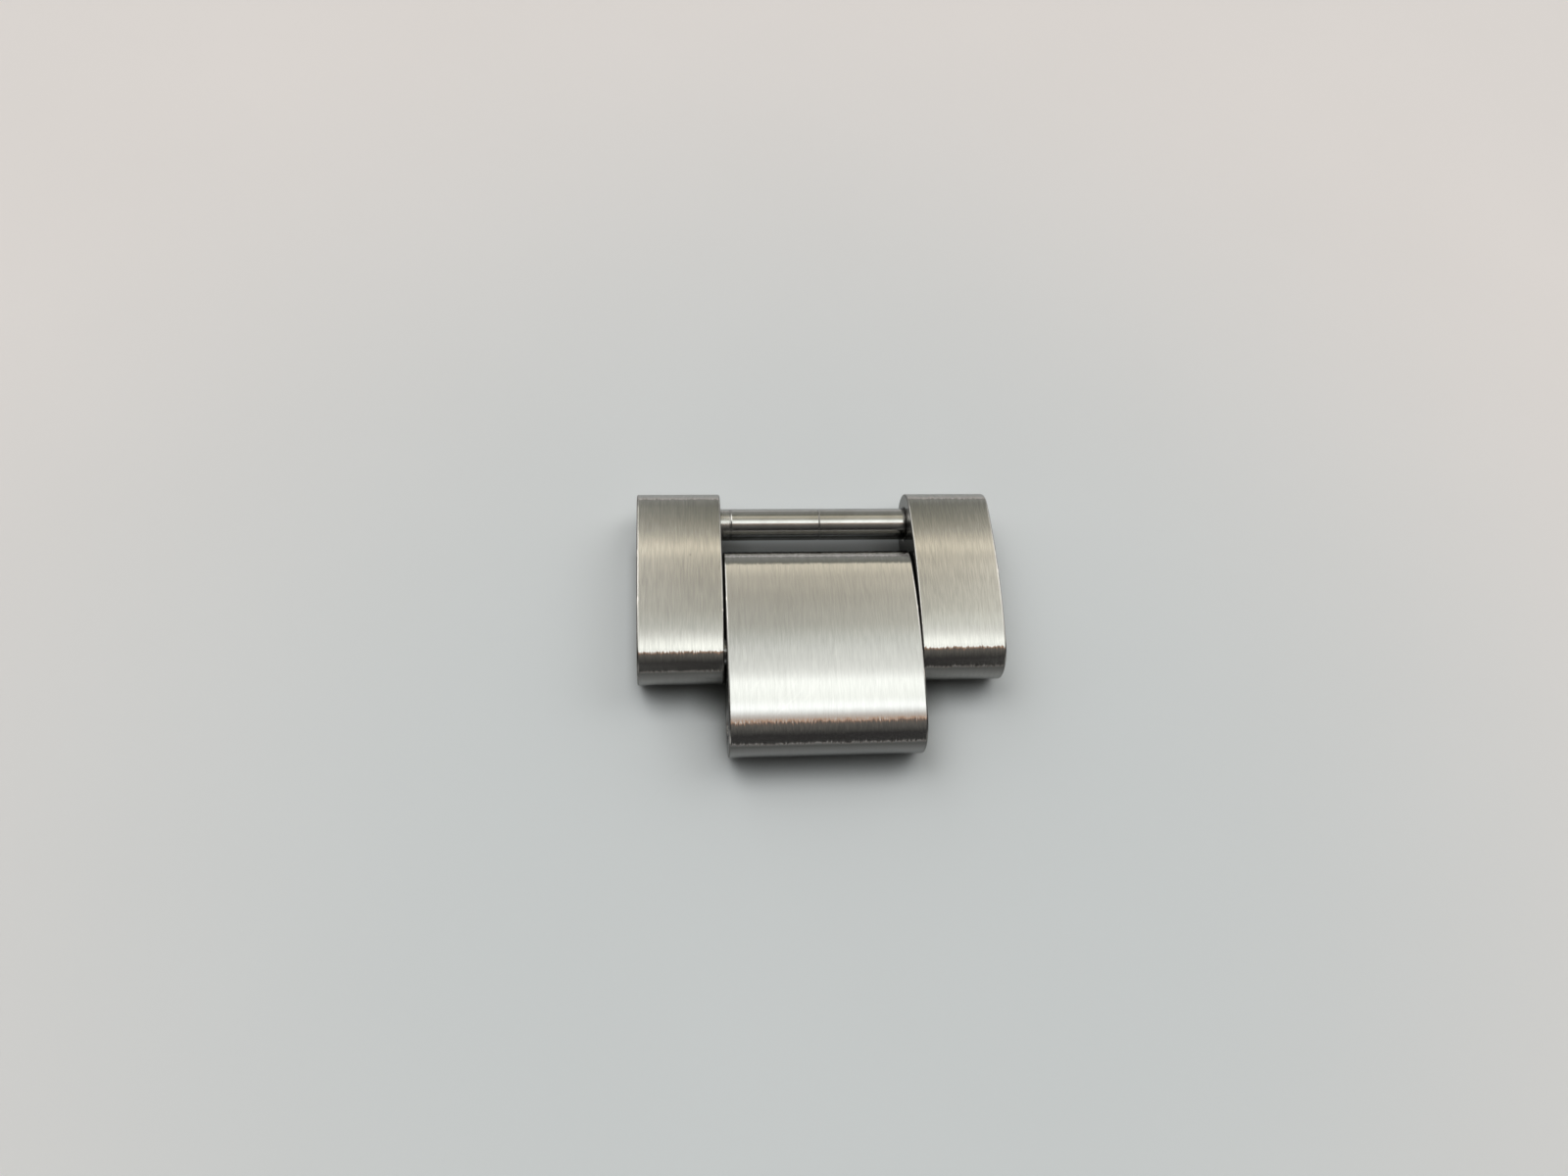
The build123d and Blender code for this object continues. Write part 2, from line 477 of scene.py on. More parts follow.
@dataclass(frozen=True)
class BrushedSteel:
    """Steel brushed along the bracelet, with polished edges.

    Colours are linear. Widths, lengths and places are in metres. The rounded
    edges are painted darker as shade, with bright flecks of polish painted as
    glints. Painted shade also darkens the steel low on the ends, in the bores,
    on the side faces between the links and on the left edge. Low on the ends
    that shade is whole at the height shade_whole_z and gone at shade_from_z and
    at clear_above, and it fades out along shade_span_y.
    """

    name: str
    seed: float
    colour: Colour = (0.6, 0.592, 0.574)
    dark_line: Colour = (0.43, 0.424, 0.412)
    # Painted shade darkens the rounded edges, and painted glints fleck them where the polish shows
    edge_shade_colour: Colour = (0.26, 0.255, 0.245)
    edge_shade_share: float = 0.8
    edge_glint_colour: Colour = (0.78, 0.75, 0.71)
    scratch_colour: Colour = (0.7, 0.69, 0.67)
    scratch_amount: float = 0.12
    scratch_gloss: float = 0.1
    speck_colour: Colour = (0.25, 0.24, 0.22)
    # Painted shade inside the bores
    bore_shade_colour: Colour = (0.2, 0.19, 0.18)
    bore_shade_share: float = 0.35
    roughness_low: float = 0.155
    roughness_high: float = 0.165
    edge_roughness: float = 0.28
    anisotropy: float = 0.9
    specular_tint: Colour = (0.72, 0.72, 0.72)
    line_width: float = 0.055 * MM
    line_length: float = 0.8 * MM
    side_tilt: float = 0.005
    length_tilt: float = 0.002
    shoulder_tilt: float = 0.13
    near_smoothing: float = 0.38
    # Painted shade: a dark band low on the ends, on the side faces between the links and on the left edge
    painted_shade_colour: Colour = (0.11, 0.107, 0.1)
    shade_from_z: float = 1.2 * MM
    shade_whole_z: float = 2.25 * MM
    clear_above: float = 2.7 * MM
    low_shade_share: float = 0.93
    shade_span_y: tuple[float, float] = (3.9 * MM, 4.5 * MM)
    side_shade_share: float = 0.7
    inner_span_x: tuple[float, float] = (5.0 * MM, 6.0 * MM)
    left_edge_x: tuple[float, float] = (-8.43 * MM, -8.4 * MM)
    side_facing: tuple[float, float] = (0.4, 0.8)

    def material(self, groups: FinishGroups) -> bpy.types.Material:
        """Builds the material.

        Args:
            groups: the shared shader groups.

        Returns:
            The material, for a mesh with the grain map and the bar's masks.
        """
        material, sheet, shader = new_material(self.name)
        grain = sheet.add("ShaderNodeUVMap", uv_map=GRAIN_MAP).outputs[0]
        place = sheet.add("ShaderNodeTexCoord").outputs["Object"]
        edge = sheet.attribute(ROUND_MASK)
        uneven = sheet.spread(
            sheet.attribute(SHOULDER_WEAR), 0.0, 1.0, self.length_tilt, self.shoulder_tilt
        )
        brushing = sheet.group(
            groups.brushing,
            {
                "Vector": grain,
                "Line Width": self.line_width,
                "Line Length": self.line_length,
                "Seed": self.seed,
                "Side Tilt": self.side_tilt,
                "Length Tilt": uneven,
            },
        )
        scratches = sheet.group(
            groups.scratches, {"Vector": grain, "Seed": self.seed, "Amount": self.scratch_amount}
        )["Mask"]
        specks = sheet.group(groups.specks, {"Vector": place})["Mask"]
        polish_glints = sheet.group(groups.polish_glint_group, {"Vector": place, "Edge": edge})["Mask"]

        smoothed = sheet.times(sheet.attribute(NEAR_WEAR), self.near_smoothing / 2)
        lines = sheet.spread(brushing["Lines"], 0.0, 1.0, smoothed, sheet.minus(1.0, smoothed))
        colour = sheet.blend(lines, rgba(self.dark_line), rgba(self.colour))
        bore = sheet.times(sheet.attribute(BORE_MASK), self.bore_shade_share)
        # Painted shade: the dark edges, the darker bores and the dark band low on the ends. Painted
        # glints: the bright flecks on the edges, partly polish
        for mask, tint in (
            (sheet.times(edge, self.edge_shade_share), self.edge_shade_colour),
            (polish_glints, self.edge_glint_colour),
            (scratches, self.scratch_colour),
            (specks, self.speck_colour),
            (bore, self.bore_shade_colour),
            (self.painted_shade_mask(sheet, place, edge), self.painted_shade_colour),
        ):
            colour = sheet.blend(mask, colour, rgba(tint))
        sheet.feed(shader, "Base Color", colour)

        rough = sheet.spread(brushing["Lines"], 0.0, 1.0, self.roughness_high, self.roughness_low)
        rough = sheet.minus(rough, sheet.times(scratches, self.scratch_gloss))
        mixed = sheet.add("ShaderNodeMix", {0: edge, 2: rough, 3: self.edge_roughness})
        sheet.feed(shader, "Roughness", mixed.outputs[0])

        # A normal map holds half of each slope
        lean = sheet.vector(0.0, sheet.over(sheet.attribute(CROWN_LEAN), 2.0), 0.0)
        leaned = sheet.add("ShaderNodeVectorMath", {0: brushing["Tilt"], 1: lean}, operation="ADD")
        normal = sheet.add(
            "ShaderNodeNormalMap", {"Color": leaned.outputs[0], "Strength": 1.0}, uv_map=GRAIN_MAP
        )
        sheet.feed(shader, "Normal", normal.outputs[0])
        tangent = sheet.add("ShaderNodeTangent", direction_type="UV_MAP", uv_map=GRAIN_MAP)
        sheet.feed(shader, "Tangent", tangent.outputs[0])
        sheet.feed(shader, "Metallic", 1.0)
        sheet.feed(shader, "Anisotropic", self.anisotropy)
        sheet.feed(shader, "Specular Tint", rgba(self.specular_tint))
        return material

    def painted_shade_mask(self, sheet: NodeSheet, place: Socket, edge: Socket) -> Socket:
        """Masks the painted shade: a dark band low on the ends, the side faces between the links, and the
        left edge.

        Args:
            sheet: the material's node tree.
            place: the object coordinates.
            edge: the mask of the rounded edges.

        Returns:
            The mask's socket.
        """
        x, y, z = sheet.split(place)
        facing = sheet.add("ShaderNodeNewGeometry").outputs["True Normal"]
        side_face = sheet.spread(sheet.unsigned(sheet.split(facing)[0]), *self.side_facing)
        # Painted shade on the side faces between the links
        inner = sheet.spread(sheet.unsigned(x), *self.inner_span_x, self.side_shade_share, 0.0)
        # Painted shade in a band low on the ends
        upper = sheet.spread(z, self.shade_whole_z, self.clear_above, self.low_shade_share, 0.0, smooth=True)
        lower = sheet.spread(z, self.shade_from_z, self.shade_whole_z, 0.0, self.low_shade_share)
        near = sheet.spread(y, *self.shade_span_y, 1.0, 0.0)
        low = sheet.times(sheet.maths("MINIMUM", upper, lower), near)
        # Painted shade on the left edge, which darkens its bright line
        left_edge_shade = sheet.times(sheet.spread(x, *self.left_edge_x, self.side_shade_share, 0.0), edge)
        return sheet.maths("MAXIMUM", sheet.spread(side_face, 0.0, 1.0, low, inner), left_edge_shade)


@dataclass(frozen=True)
class PolishedSteel:
    """Turned and polished steel of a pin.

    Colours are linear. Lengths and places are in metres. Left of dull_below_x
    the steel is duller, and at groove_x it is painted dark as shade. Both stand off the pin
    unless the pin sets them.
    """

    name: str
    seed: float
    colour: Colour = (0.53, 0.53, 0.525)
    stain: Colour = (0.46, 0.456, 0.445)
    stain_span: tuple[float, float] = (0.42, 0.7)
    stain_scale: float = 900.0
    speck_colour: Colour = (0.22, 0.21, 0.2)
    scratch_spacing: float = 0.4 * MM
    scratch_roughness: float = 0.15
    roughness: float = 0.185
    dull_roughness: float = 0.25
    dull_below_x: float = -1.0
    dull_fade: float = 0.05 * MM
    groove_x: float = 1.0
    groove_width: float = 0.12 * MM
    groove_shade: float = 0.5
    groove_colour: Colour = (0.16, 0.155, 0.15)
    groove_edge_shares: tuple[float, float] = (0.4, 0.6)
    specular_tint: Colour = (0.72, 0.72, 0.72)
    turning_pitch: float = 0.12 * MM
    turning_round: float = 1.6 * MM
    turning_roughness: tuple[float, float] = (-0.03, 0.04)
    turning_height: float = 0.0012 * MM
    turning_strength: float = 0.5

    def material(self, groups: FinishGroups) -> bpy.types.Material:
        """Builds the material.

        Args:
            groups: the shared shader groups.

        Returns:
            The material, on object coordinates.
        """
        material, sheet, shader = new_material(self.name)
        place = sheet.add("ShaderNodeTexCoord").outputs["Object"]
        x, y, z = sheet.split(place)
        turned_place = sheet.vector(
            sheet.over(x, self.turning_pitch),
            sheet.over(y, self.turning_round),
            sheet.over(z, self.turning_round),
        )
        turning = sheet.noise(turned_place, roughness=0.6)
        cloud = sheet.noise(place, self.stain_scale, detail=3.0)
        scratches = sheet.group(
            groups.scratches, {"Vector": place, "Seed": self.seed, "Spacing": self.scratch_spacing}
        )["Mask"]
        specks = sheet.group(groups.specks, {"Vector": place})["Mask"]

        stained = sheet.spread(cloud, *self.stain_span)
        colour = sheet.blend(stained, rgba(self.colour), rgba(self.stain))
        colour = sheet.blend(specks, colour, rgba(self.speck_colour))
        # Painted shade along the turned ring
        from_groove = sheet.unsigned(sheet.minus(x, self.groove_x))
        inside, outside = (self.groove_width * share for share in self.groove_edge_shares)
        groove = sheet.spread(from_groove, inside, outside, self.groove_shade, 0.0)
        sheet.feed(shader, "Base Color", sheet.blend(groove, colour, rgba(self.groove_colour)))

        dull_from = self.dull_below_x - self.dull_fade
        dull_to = self.dull_below_x + self.dull_fade
        dull = sheet.spread(x, dull_from, dull_to, self.dull_roughness, self.roughness)
        lined = sheet.plus(dull, sheet.spread(turning, *NOISE_SPAN, *self.turning_roughness))
        rough = sheet.plus(lined, sheet.times(scratches, self.scratch_roughness))
        sheet.feed(shader, "Roughness", rough)
        bump = sheet.add(
            "ShaderNodeBump",
            {"Strength": self.turning_strength, "Distance": self.turning_height, "Height": turning},
        )
        sheet.feed(shader, "Normal", bump.outputs[0])
        sheet.feed(shader, "Metallic", 1.0)
        sheet.feed(shader, "Specular Tint", rgba(self.specular_tint))
        return material


@dataclass(frozen=True)
class TableTop:
    """Pale matt table under the link. Colours are linear, lengths in metres.

    The fields whose names start with contact deepen the shade right beside
    the link.
    """

    name: str = "pale_table"
    shaded_near_colour: Colour = (0.71, 0.75, 0.795)
    far_colour: Colour = (0.893, 0.855, 0.87)
    centre_y: float = -12.0 * MM
    tone_span: tuple[float, float] = (12.0 * MM, 60.0 * MM)
    cloud_colour: Colour = (0.55, 0.56, 0.57)
    cloud_scale: float = 60.0
    cloud_share: float = 0.05
    fibre_scale: float = 2600.0
    fibre_height: float = 0.01 * MM
    fibre_strength: float = 0.2
    roughness: tuple[float, float] = (0.62, 0.74)
    specular_level: float = 0.2
    contact_colour: Colour = (0.09, 0.095, 0.09)
    contact_reach: float = 1.8 * MM
    contact_full: float = 0.23
    contact_depth: float = 0.95
    contact_span_x: tuple[float, float] = (8.3 * MM, 9.1 * MM)
    contact_span_y: tuple[float, float] = (4.0 * MM, 5.0 * MM)
    contact_beyond: float = 0.2

    def material(self) -> bpy.types.Material:
        """Builds the material.

        Returns:
            The material, cooler and darker near the link, a painted soft shade, and warmer and lighter
            away from it.
        """
        material, sheet, shader = new_material(self.name)
        place = sheet.add("ShaderNodeTexCoord").outputs["Object"]
        centred = sheet.add(
            "ShaderNodeVectorMath", {0: place, 1: (0.0, -self.centre_y, 0.0)}, operation="ADD"
        )
        away = sheet.add("ShaderNodeVectorMath", {0: centred.outputs[0]}, operation="LENGTH")
        # Painted soft shade: the table is darker and cooler near the link
        share = sheet.spread(away.outputs["Value"], *self.tone_span, smooth=True)
        toned = sheet.blend(share, rgba(self.shaded_near_colour), rgba(self.far_colour))
        cloud = sheet.noise(place, self.cloud_scale, detail=4.0)
        mottle = sheet.spread(cloud, *NOISE_SPAN, 0.0, self.cloud_share)
        clouded = sheet.blend(mottle, toned, rgba(self.cloud_colour))

        openness = sheet.add("ShaderNodeAmbientOcclusion", {"Distance": self.contact_reach})
        covered = sheet.spread(
            openness.outputs["AO"], self.contact_full, 1.0, self.contact_depth, 0.0, smooth=True
        )
        x, y, _ = sheet.split(place)
        across = sheet.spread(sheet.unsigned(x), *self.contact_span_x, 1.0, 0.0)
        near = sheet.spread(y, *self.contact_span_y, 1.0, self.contact_beyond)
        shaded = sheet.times(covered, sheet.times(across, near))
        sheet.feed(shader, "Base Color", sheet.blend(shaded, clouded, rgba(self.contact_colour)))

        fibre = sheet.noise(place, self.fibre_scale, detail=3.0)
        sheet.feed(shader, "Roughness", sheet.spread(fibre, *NOISE_SPAN, *self.roughness))
        bump = sheet.add(
            "ShaderNodeBump",
            {"Strength": self.fibre_strength, "Distance": self.fibre_height, "Height": fibre},
        )
        sheet.feed(shader, "Normal", bump.outputs[0])
        sheet.feed(shader, "Specular IOR Level", self.specular_level)
        return material


@dataclass(frozen=True)
class Bore:
    """A round hole from one side face of a bar to the other.

    The steps are (x, radius) from the left face to the right one, in metres.
    """

    y: float
    steps: tuple[tuple[float, float], ...]


@dataclass(frozen=True)
class SideOutline:
    """The outline that the bars share: flat foot, round ends and crown.

    Spans in turns are degrees round an end from straight up, and shares are
    of the crown from the near end. Each goes from where a mask is nought to
    where it is whole.
    """

    near_y: float
    far_y: float
    end_radius: float
    crown_radius: float
    foot_steps: int = 14
    end_steps: int = 84
    crown_steps: int = 72
    lean_turns: tuple[float, float] = (26.0, 11.0)
    smooth_shares: tuple[float, float] = (0.4, 0.06)
    uneven_turns: tuple[float, float] = (9.0, 14.0)
    even_turns: tuple[float, float] = (80.0, 68.0)

    @classmethod
    def in_box(cls, lowest: Vector, highest: Vector, end_radius: float) -> "SideOutline":
        """Works the outline out from a bar's box.

        Args:
            lowest: the box's lowest corner.
            highest: the box's highest corner.
            end_radius: radius of the round ends, which is also the axis height.

        Returns:
            The outline that fills the box.
        """
        near_y = lowest.y + end_radius
        far_y = highest.y - end_radius
        half = (far_y - near_y) / 2
        rise = highest.z - end_radius
        crown = (end_radius**2 - half**2 - rise**2) / (2 * (end_radius - rise))
        return cls(near_y, far_y, end_radius, crown)

    def turn_at(self, y: float, z: float) -> float:
        """Tells how far round an end a point is, in degrees from straight up."""
        past_end = max(self.near_y - y, y - self.far_y, 0.0)
        return math.degrees(math.atan2(past_end, z - self.end_radius))

    def lean_at(self, y: float, z: float, leans: Profile) -> float:
        """Tells how far the finish of a point leans towards the near end.

        Args:
            y: the point's y.
            z: its z.
            leans: (share of the crown, degrees) from the near end to the far
                end, eased between one and the next.

        Returns:
            The lean as a slope, which fades out a little way round the ends.
        """
        if z < self.end_radius or not leans:
            return 0.0
        share = ramp(y, self.near_y, self.far_y)
        degrees = leans[-1][1]
        for (start, first), (end, second) in zip(leans, leans[1:]):
            if start <= share <= end:
                part = ramp(share, start, end)
                degrees = first + (second - first) * part * part * (3 - 2 * part)
                break
        return ramp(self.turn_at(y, z), *self.lean_turns) * math.tan(math.radians(degrees))

    def wear_at(self, y: float, z: float) -> tuple[float, float]:
        """Tells how worn the finish of a point is.

        Args:
            y: the point's y.
            z: its z.

        Returns:
            How smooth the brushing grows towards the near end, and how
            uneven it is round the ends, each from 0 to 1.
        """
        if z < self.end_radius:
            return 0.0, 0.0
        turn = self.turn_at(y, z)
        near = ramp(ramp(y, self.near_y, self.far_y), *self.smooth_shares)
        return near, min(ramp(turn, *self.uneven_turns), ramp(turn, *self.even_turns))

    def ring(self, inset: float) -> list[tuple[float, float, float]]:
        """Places points round the outline, moved inwards.

        Args:
            inset: how far inwards, in metres.

        Returns:
            A (y, z, run) for each point, where run is the way along the
            outline itself. The ring starts in the middle of the foot.
        """
        half = (self.far_y - self.near_y) / 2
        middle = (self.far_y + self.near_y) / 2
        arm = self.crown_radius - self.end_radius
        crown_z = self.end_radius - math.sqrt(arm**2 - half**2)
        turn = math.atan2(self.end_radius - crown_z, half)
        points: list[tuple[float, float, float]] = []
        for step in range(self.foot_steps):
            y = middle + half * step / self.foot_steps
            points.append((y, inset, y - middle))
        run = half
        arcs = (
            (self.far_y, self.end_radius, self.end_radius, -math.pi / 2, turn, self.end_steps),
            (middle, crown_z, self.crown_radius, turn, math.pi - turn, self.crown_steps),
            (self.near_y, self.end_radius, self.end_radius, math.pi - turn, 1.5 * math.pi, self.end_steps),
        )
        for centre_y, centre_z, radius, start, end, steps in arcs:
            reach = radius - inset
            for step in range(steps):
                angle = start + (end - start) * step / steps
                y = centre_y + reach * math.cos(angle)
                z = centre_z + reach * math.sin(angle)
                points.append((y, z, run + radius * (angle - start)))
            run += radius * (end - start)
        for step in range(self.foot_steps):
            y = self.near_y + half * step / self.foot_steps
            points.append((y, inset, run + y - self.near_y))
        return points


def smooth_piece(name: str, mesh: bpy.types.Mesh, sharp_degrees: float) -> bpy.types.Object:
    """Makes a piece of a finished mesh.

    Args:
        name: the piece's name.
        mesh: its mesh, in place.
        sharp_degrees: the angle from which an edge stays sharp.

    Returns:
        The piece's object, at the origin.
    """
    mesh.shade_smooth()
    mesh.set_sharp_from_angle(angle=math.radians(sharp_degrees))
    piece = bpy.data.objects.new(name, mesh)
    bpy.context.scene.collection.objects.link(piece)
    return piece


class BarMesh:
    """Closed mesh of one bar, with its grain map and its masks.

    SUPPORT is how close to a corner a further row of points keeps the shading
    of the faces beside it straight.
    """

    ROUND_STEPS = 6
    FLAT_STEPS = 10
    BORE_STEPS = 96
    SUPPORT = 0.03 * MM
    LARGEST_SUPPORT_SHARE = 0.4
    SHARP_DEGREES = 32

    def __init__(
        self, name: str, left: float, right: float, outline: SideOutline, edge: float,
        leans: Profile = (),
    ) -> None:
        """Lofts the outline between the side faces.

        Args:
            name: the mesh's name.
            left: x of the left side face.
            right: x of the right side face.
            outline: the side outline.
            edge: radius of the rounded edges.
            leans: how the finish of the crown leans, as SideOutline.lean_at
                takes it.
        """
        self.name = name
        self.left = left
        self.right = right
        self.outline = outline
        self.edge = edge
        self.leans = leans
        self.bm = bmesh.new()
        self.uv = self.bm.loops.layers.uv.new(GRAIN_MAP)
        masks = self.bm.verts.layers.float
        self.round_mask = masks.new(ROUND_MASK)
        self.bore_mask = masks.new(BORE_MASK)
        self.crown_lean = masks.new(CROWN_LEAN)
        self.near_wear = masks.new(NEAR_WEAR)
        self.shoulder_wear = masks.new(SHOULDER_WEAR)
        self.face_rings: dict[Side, list[list[bmesh.types.BMVert]]] = {side: [] for side in Side}
        self.loft()

    def columns(self) -> list[tuple[float, float, float, float]]:
        """Lists the places of the rings across the bar.

        Returns:
            An (x, inset, grain u, round mask) for each ring.
        """
        half = []
        for step in range(self.ROUND_STEPS + 1):
            angle = math.pi / 2 * step / self.ROUND_STEPS
            reach = self.edge * (1 - math.cos(angle))
            inset = self.edge * (1 - math.sin(angle))
            along = self.edge - self.edge * (math.pi / 2 - angle)
            half.append((reach, inset, along, math.sin(2 * angle)))
        past_edge = self.edge + self.SUPPORT
        half.insert(0, (0.0, past_edge, half[0][2] - self.SUPPORT, 0.0))
        half.append((past_edge, 0.0, past_edge, 0.0))
        places = [(self.left + x, inset, self.left + u, mask) for x, inset, u, mask in half]
        flat = self.right - self.left - 2 * past_edge
        for step in range(1, self.FLAT_STEPS):
            x = self.left + past_edge + flat * step / self.FLAT_STEPS
            places.append((x, 0.0, x, 0.0))
        places += [(self.right - x, inset, self.right - u, mask) for x, inset, u, mask in reversed(half)]
        return places

    def strip(
        self, first: list[bmesh.types.BMVert], second: list[bmesh.types.BMVert], first_u: float,
        second_u: float, runs: Sequence[float],
    ) -> None:
        """Joins two rings with faces and their grain map.

        Args:
            first: the one ring.
            second: the other ring, with as many points.
            first_u: the map's u on the first ring.
            second_u: its u on the second.
            runs: its v at each point, and at the first one again after a round.
        """
        for place, (v, next_v) in enumerate(zip(runs, runs[1:])):
            after = (place + 1) % len(first)
            face = self.bm.faces.new((first[place], second[place], second[after], first[after]))
            marks = ((first_u, v), (second_u, v), (second_u, next_v), (first_u, next_v))
            for loop, mark in zip(face.loops, marks):
                loop[self.uv].uv = mark

    def loft(self) -> None:
        """Builds the rings and the faces between them."""
        columns = self.columns()
        outline = self.outline
        rings = []
        for x, inset, _, mask in columns:
            ring = []
            for y, z, _ in outline.ring(inset):
                vert = self.bm.verts.new((x, y, z))
                vert[self.round_mask] = mask
                vert[self.crown_lean] = outline.lean_at(y, z, self.leans)
                vert[self.near_wear], vert[self.shoulder_wear] = outline.wear_at(y, z)
                ring.append(vert)
            rings.append(ring)
        runs = [run for _, _, run in outline.ring(0.0)]
        runs.append(runs[-1] + (outline.far_y - outline.near_y) / 2 / outline.foot_steps)
        for place in range(len(rings) - 1):
            u_left = columns[place][2]
            u_right = columns[place + 1][2]
            self.strip(rings[place], rings[place + 1], u_left, u_right, runs)
        self.face_rings[Side.LEFT].append(rings[0])
        self.face_rings[Side.RIGHT].append(rings[-1])

    def circle(self, x: float, y: float, radius: float, wall: float) -> list[bmesh.types.BMVert]:
        """Adds a ring of points about a bore's axis.

        Args:
            x: place across the bar.
            y: place of the bore.
            radius: the ring's radius.
            wall: value of the bore mask.

        Returns:
            The ring's points.
        """
        ring = []
        for step in range(self.BORE_STEPS):
            angle = 2 * math.pi * step / self.BORE_STEPS
            z = self.outline.end_radius + radius * math.sin(angle)
            vert = self.bm.verts.new((x, y + radius * math.cos(angle), z))
            vert[self.bore_mask] = wall
            ring.append(vert)
        return ring

    def drill(self, bore: Bore) -> None:
        """Adds the wall of a bore, and its mouths to the side faces.

        Args:
            bore: the bore to add.
        """
        first_x, first_radius = bore.steps[0]
        last_x, last_radius = bore.steps[-1]
        stations = [(first_x, first_radius + self.SUPPORT, 0.0)]
        stations += [(x, radius, 1.0) for x, radius in self.supported(bore.steps)]
        stations.append((last_x, last_radius + self.SUPPORT, 0.0))
        rings = [self.circle(x, bore.y, radius, wall) for x, radius, wall in stations]
        around = 2 * math.pi * first_radius / self.BORE_STEPS
        runs = [around * step for step in range(self.BORE_STEPS + 1)]
        depth = 0.0
        for place in range(len(rings) - 1):
            x, radius, _ = stations[place]
            next_x, next_radius, _ = stations[place + 1]
            next_depth = depth + math.hypot(next_x - x, next_radius - radius)
            self.strip(rings[place], rings[place + 1], depth, next_depth, runs)
            depth = next_depth
        self.face_rings[Side.LEFT].append(rings[0])
        self.face_rings[Side.RIGHT].append(rings[-1])

    def supported(self, steps: Profile) -> Profile:
        """Adds points close to the corners of a bore's profile.

        Args:
            steps: the profile's corners.

        Returns:
            The corners with a point a little way along each side of them.
        """
        points = [steps[0]]
        for (x, radius), (next_x, next_radius) in zip(steps, steps[1:]):
            share = self.SUPPORT / math.hypot(next_x - x, next_radius - radius)
            if share < self.LARGEST_SUPPORT_SHARE:
                for part in (share, 1 - share):
                    points.append((x + (next_x - x) * part, radius + (next_radius - radius) * part))
            points.append((next_x, next_radius))
        return points

    def close_faces(self) -> None:
        """Fills the side faces between their edge and the bores."""
        for rings in self.face_rings.values():
            edges = []
            for ring in rings:
                for place, vert in enumerate(ring):
                    edges.append(self.bm.edges.get((vert, ring[(place + 1) % len(ring)])))
            filled = bmesh.ops.triangle_fill(self.bm, use_beauty=True, edges=edges)
            for item in filled["geom"]:
                if isinstance(item, bmesh.types.BMFace):
                    for loop in item.loops:
                        loop[self.uv].uv = (loop.vert.co.z, loop.vert.co.y)

    def finish(self) -> bpy.types.Object:
        """Closes the mesh and makes its object.

        Returns:
            The bar's object, at the origin.
        """
        self.close_faces()
        bmesh.ops.recalc_face_normals(self.bm, faces=self.bm.faces)
        mesh = bpy.data.meshes.new(self.name)
        self.bm.to_mesh(mesh)
        self.bm.free()
        return smooth_piece(self.name, mesh, self.SHARP_DEGREES)


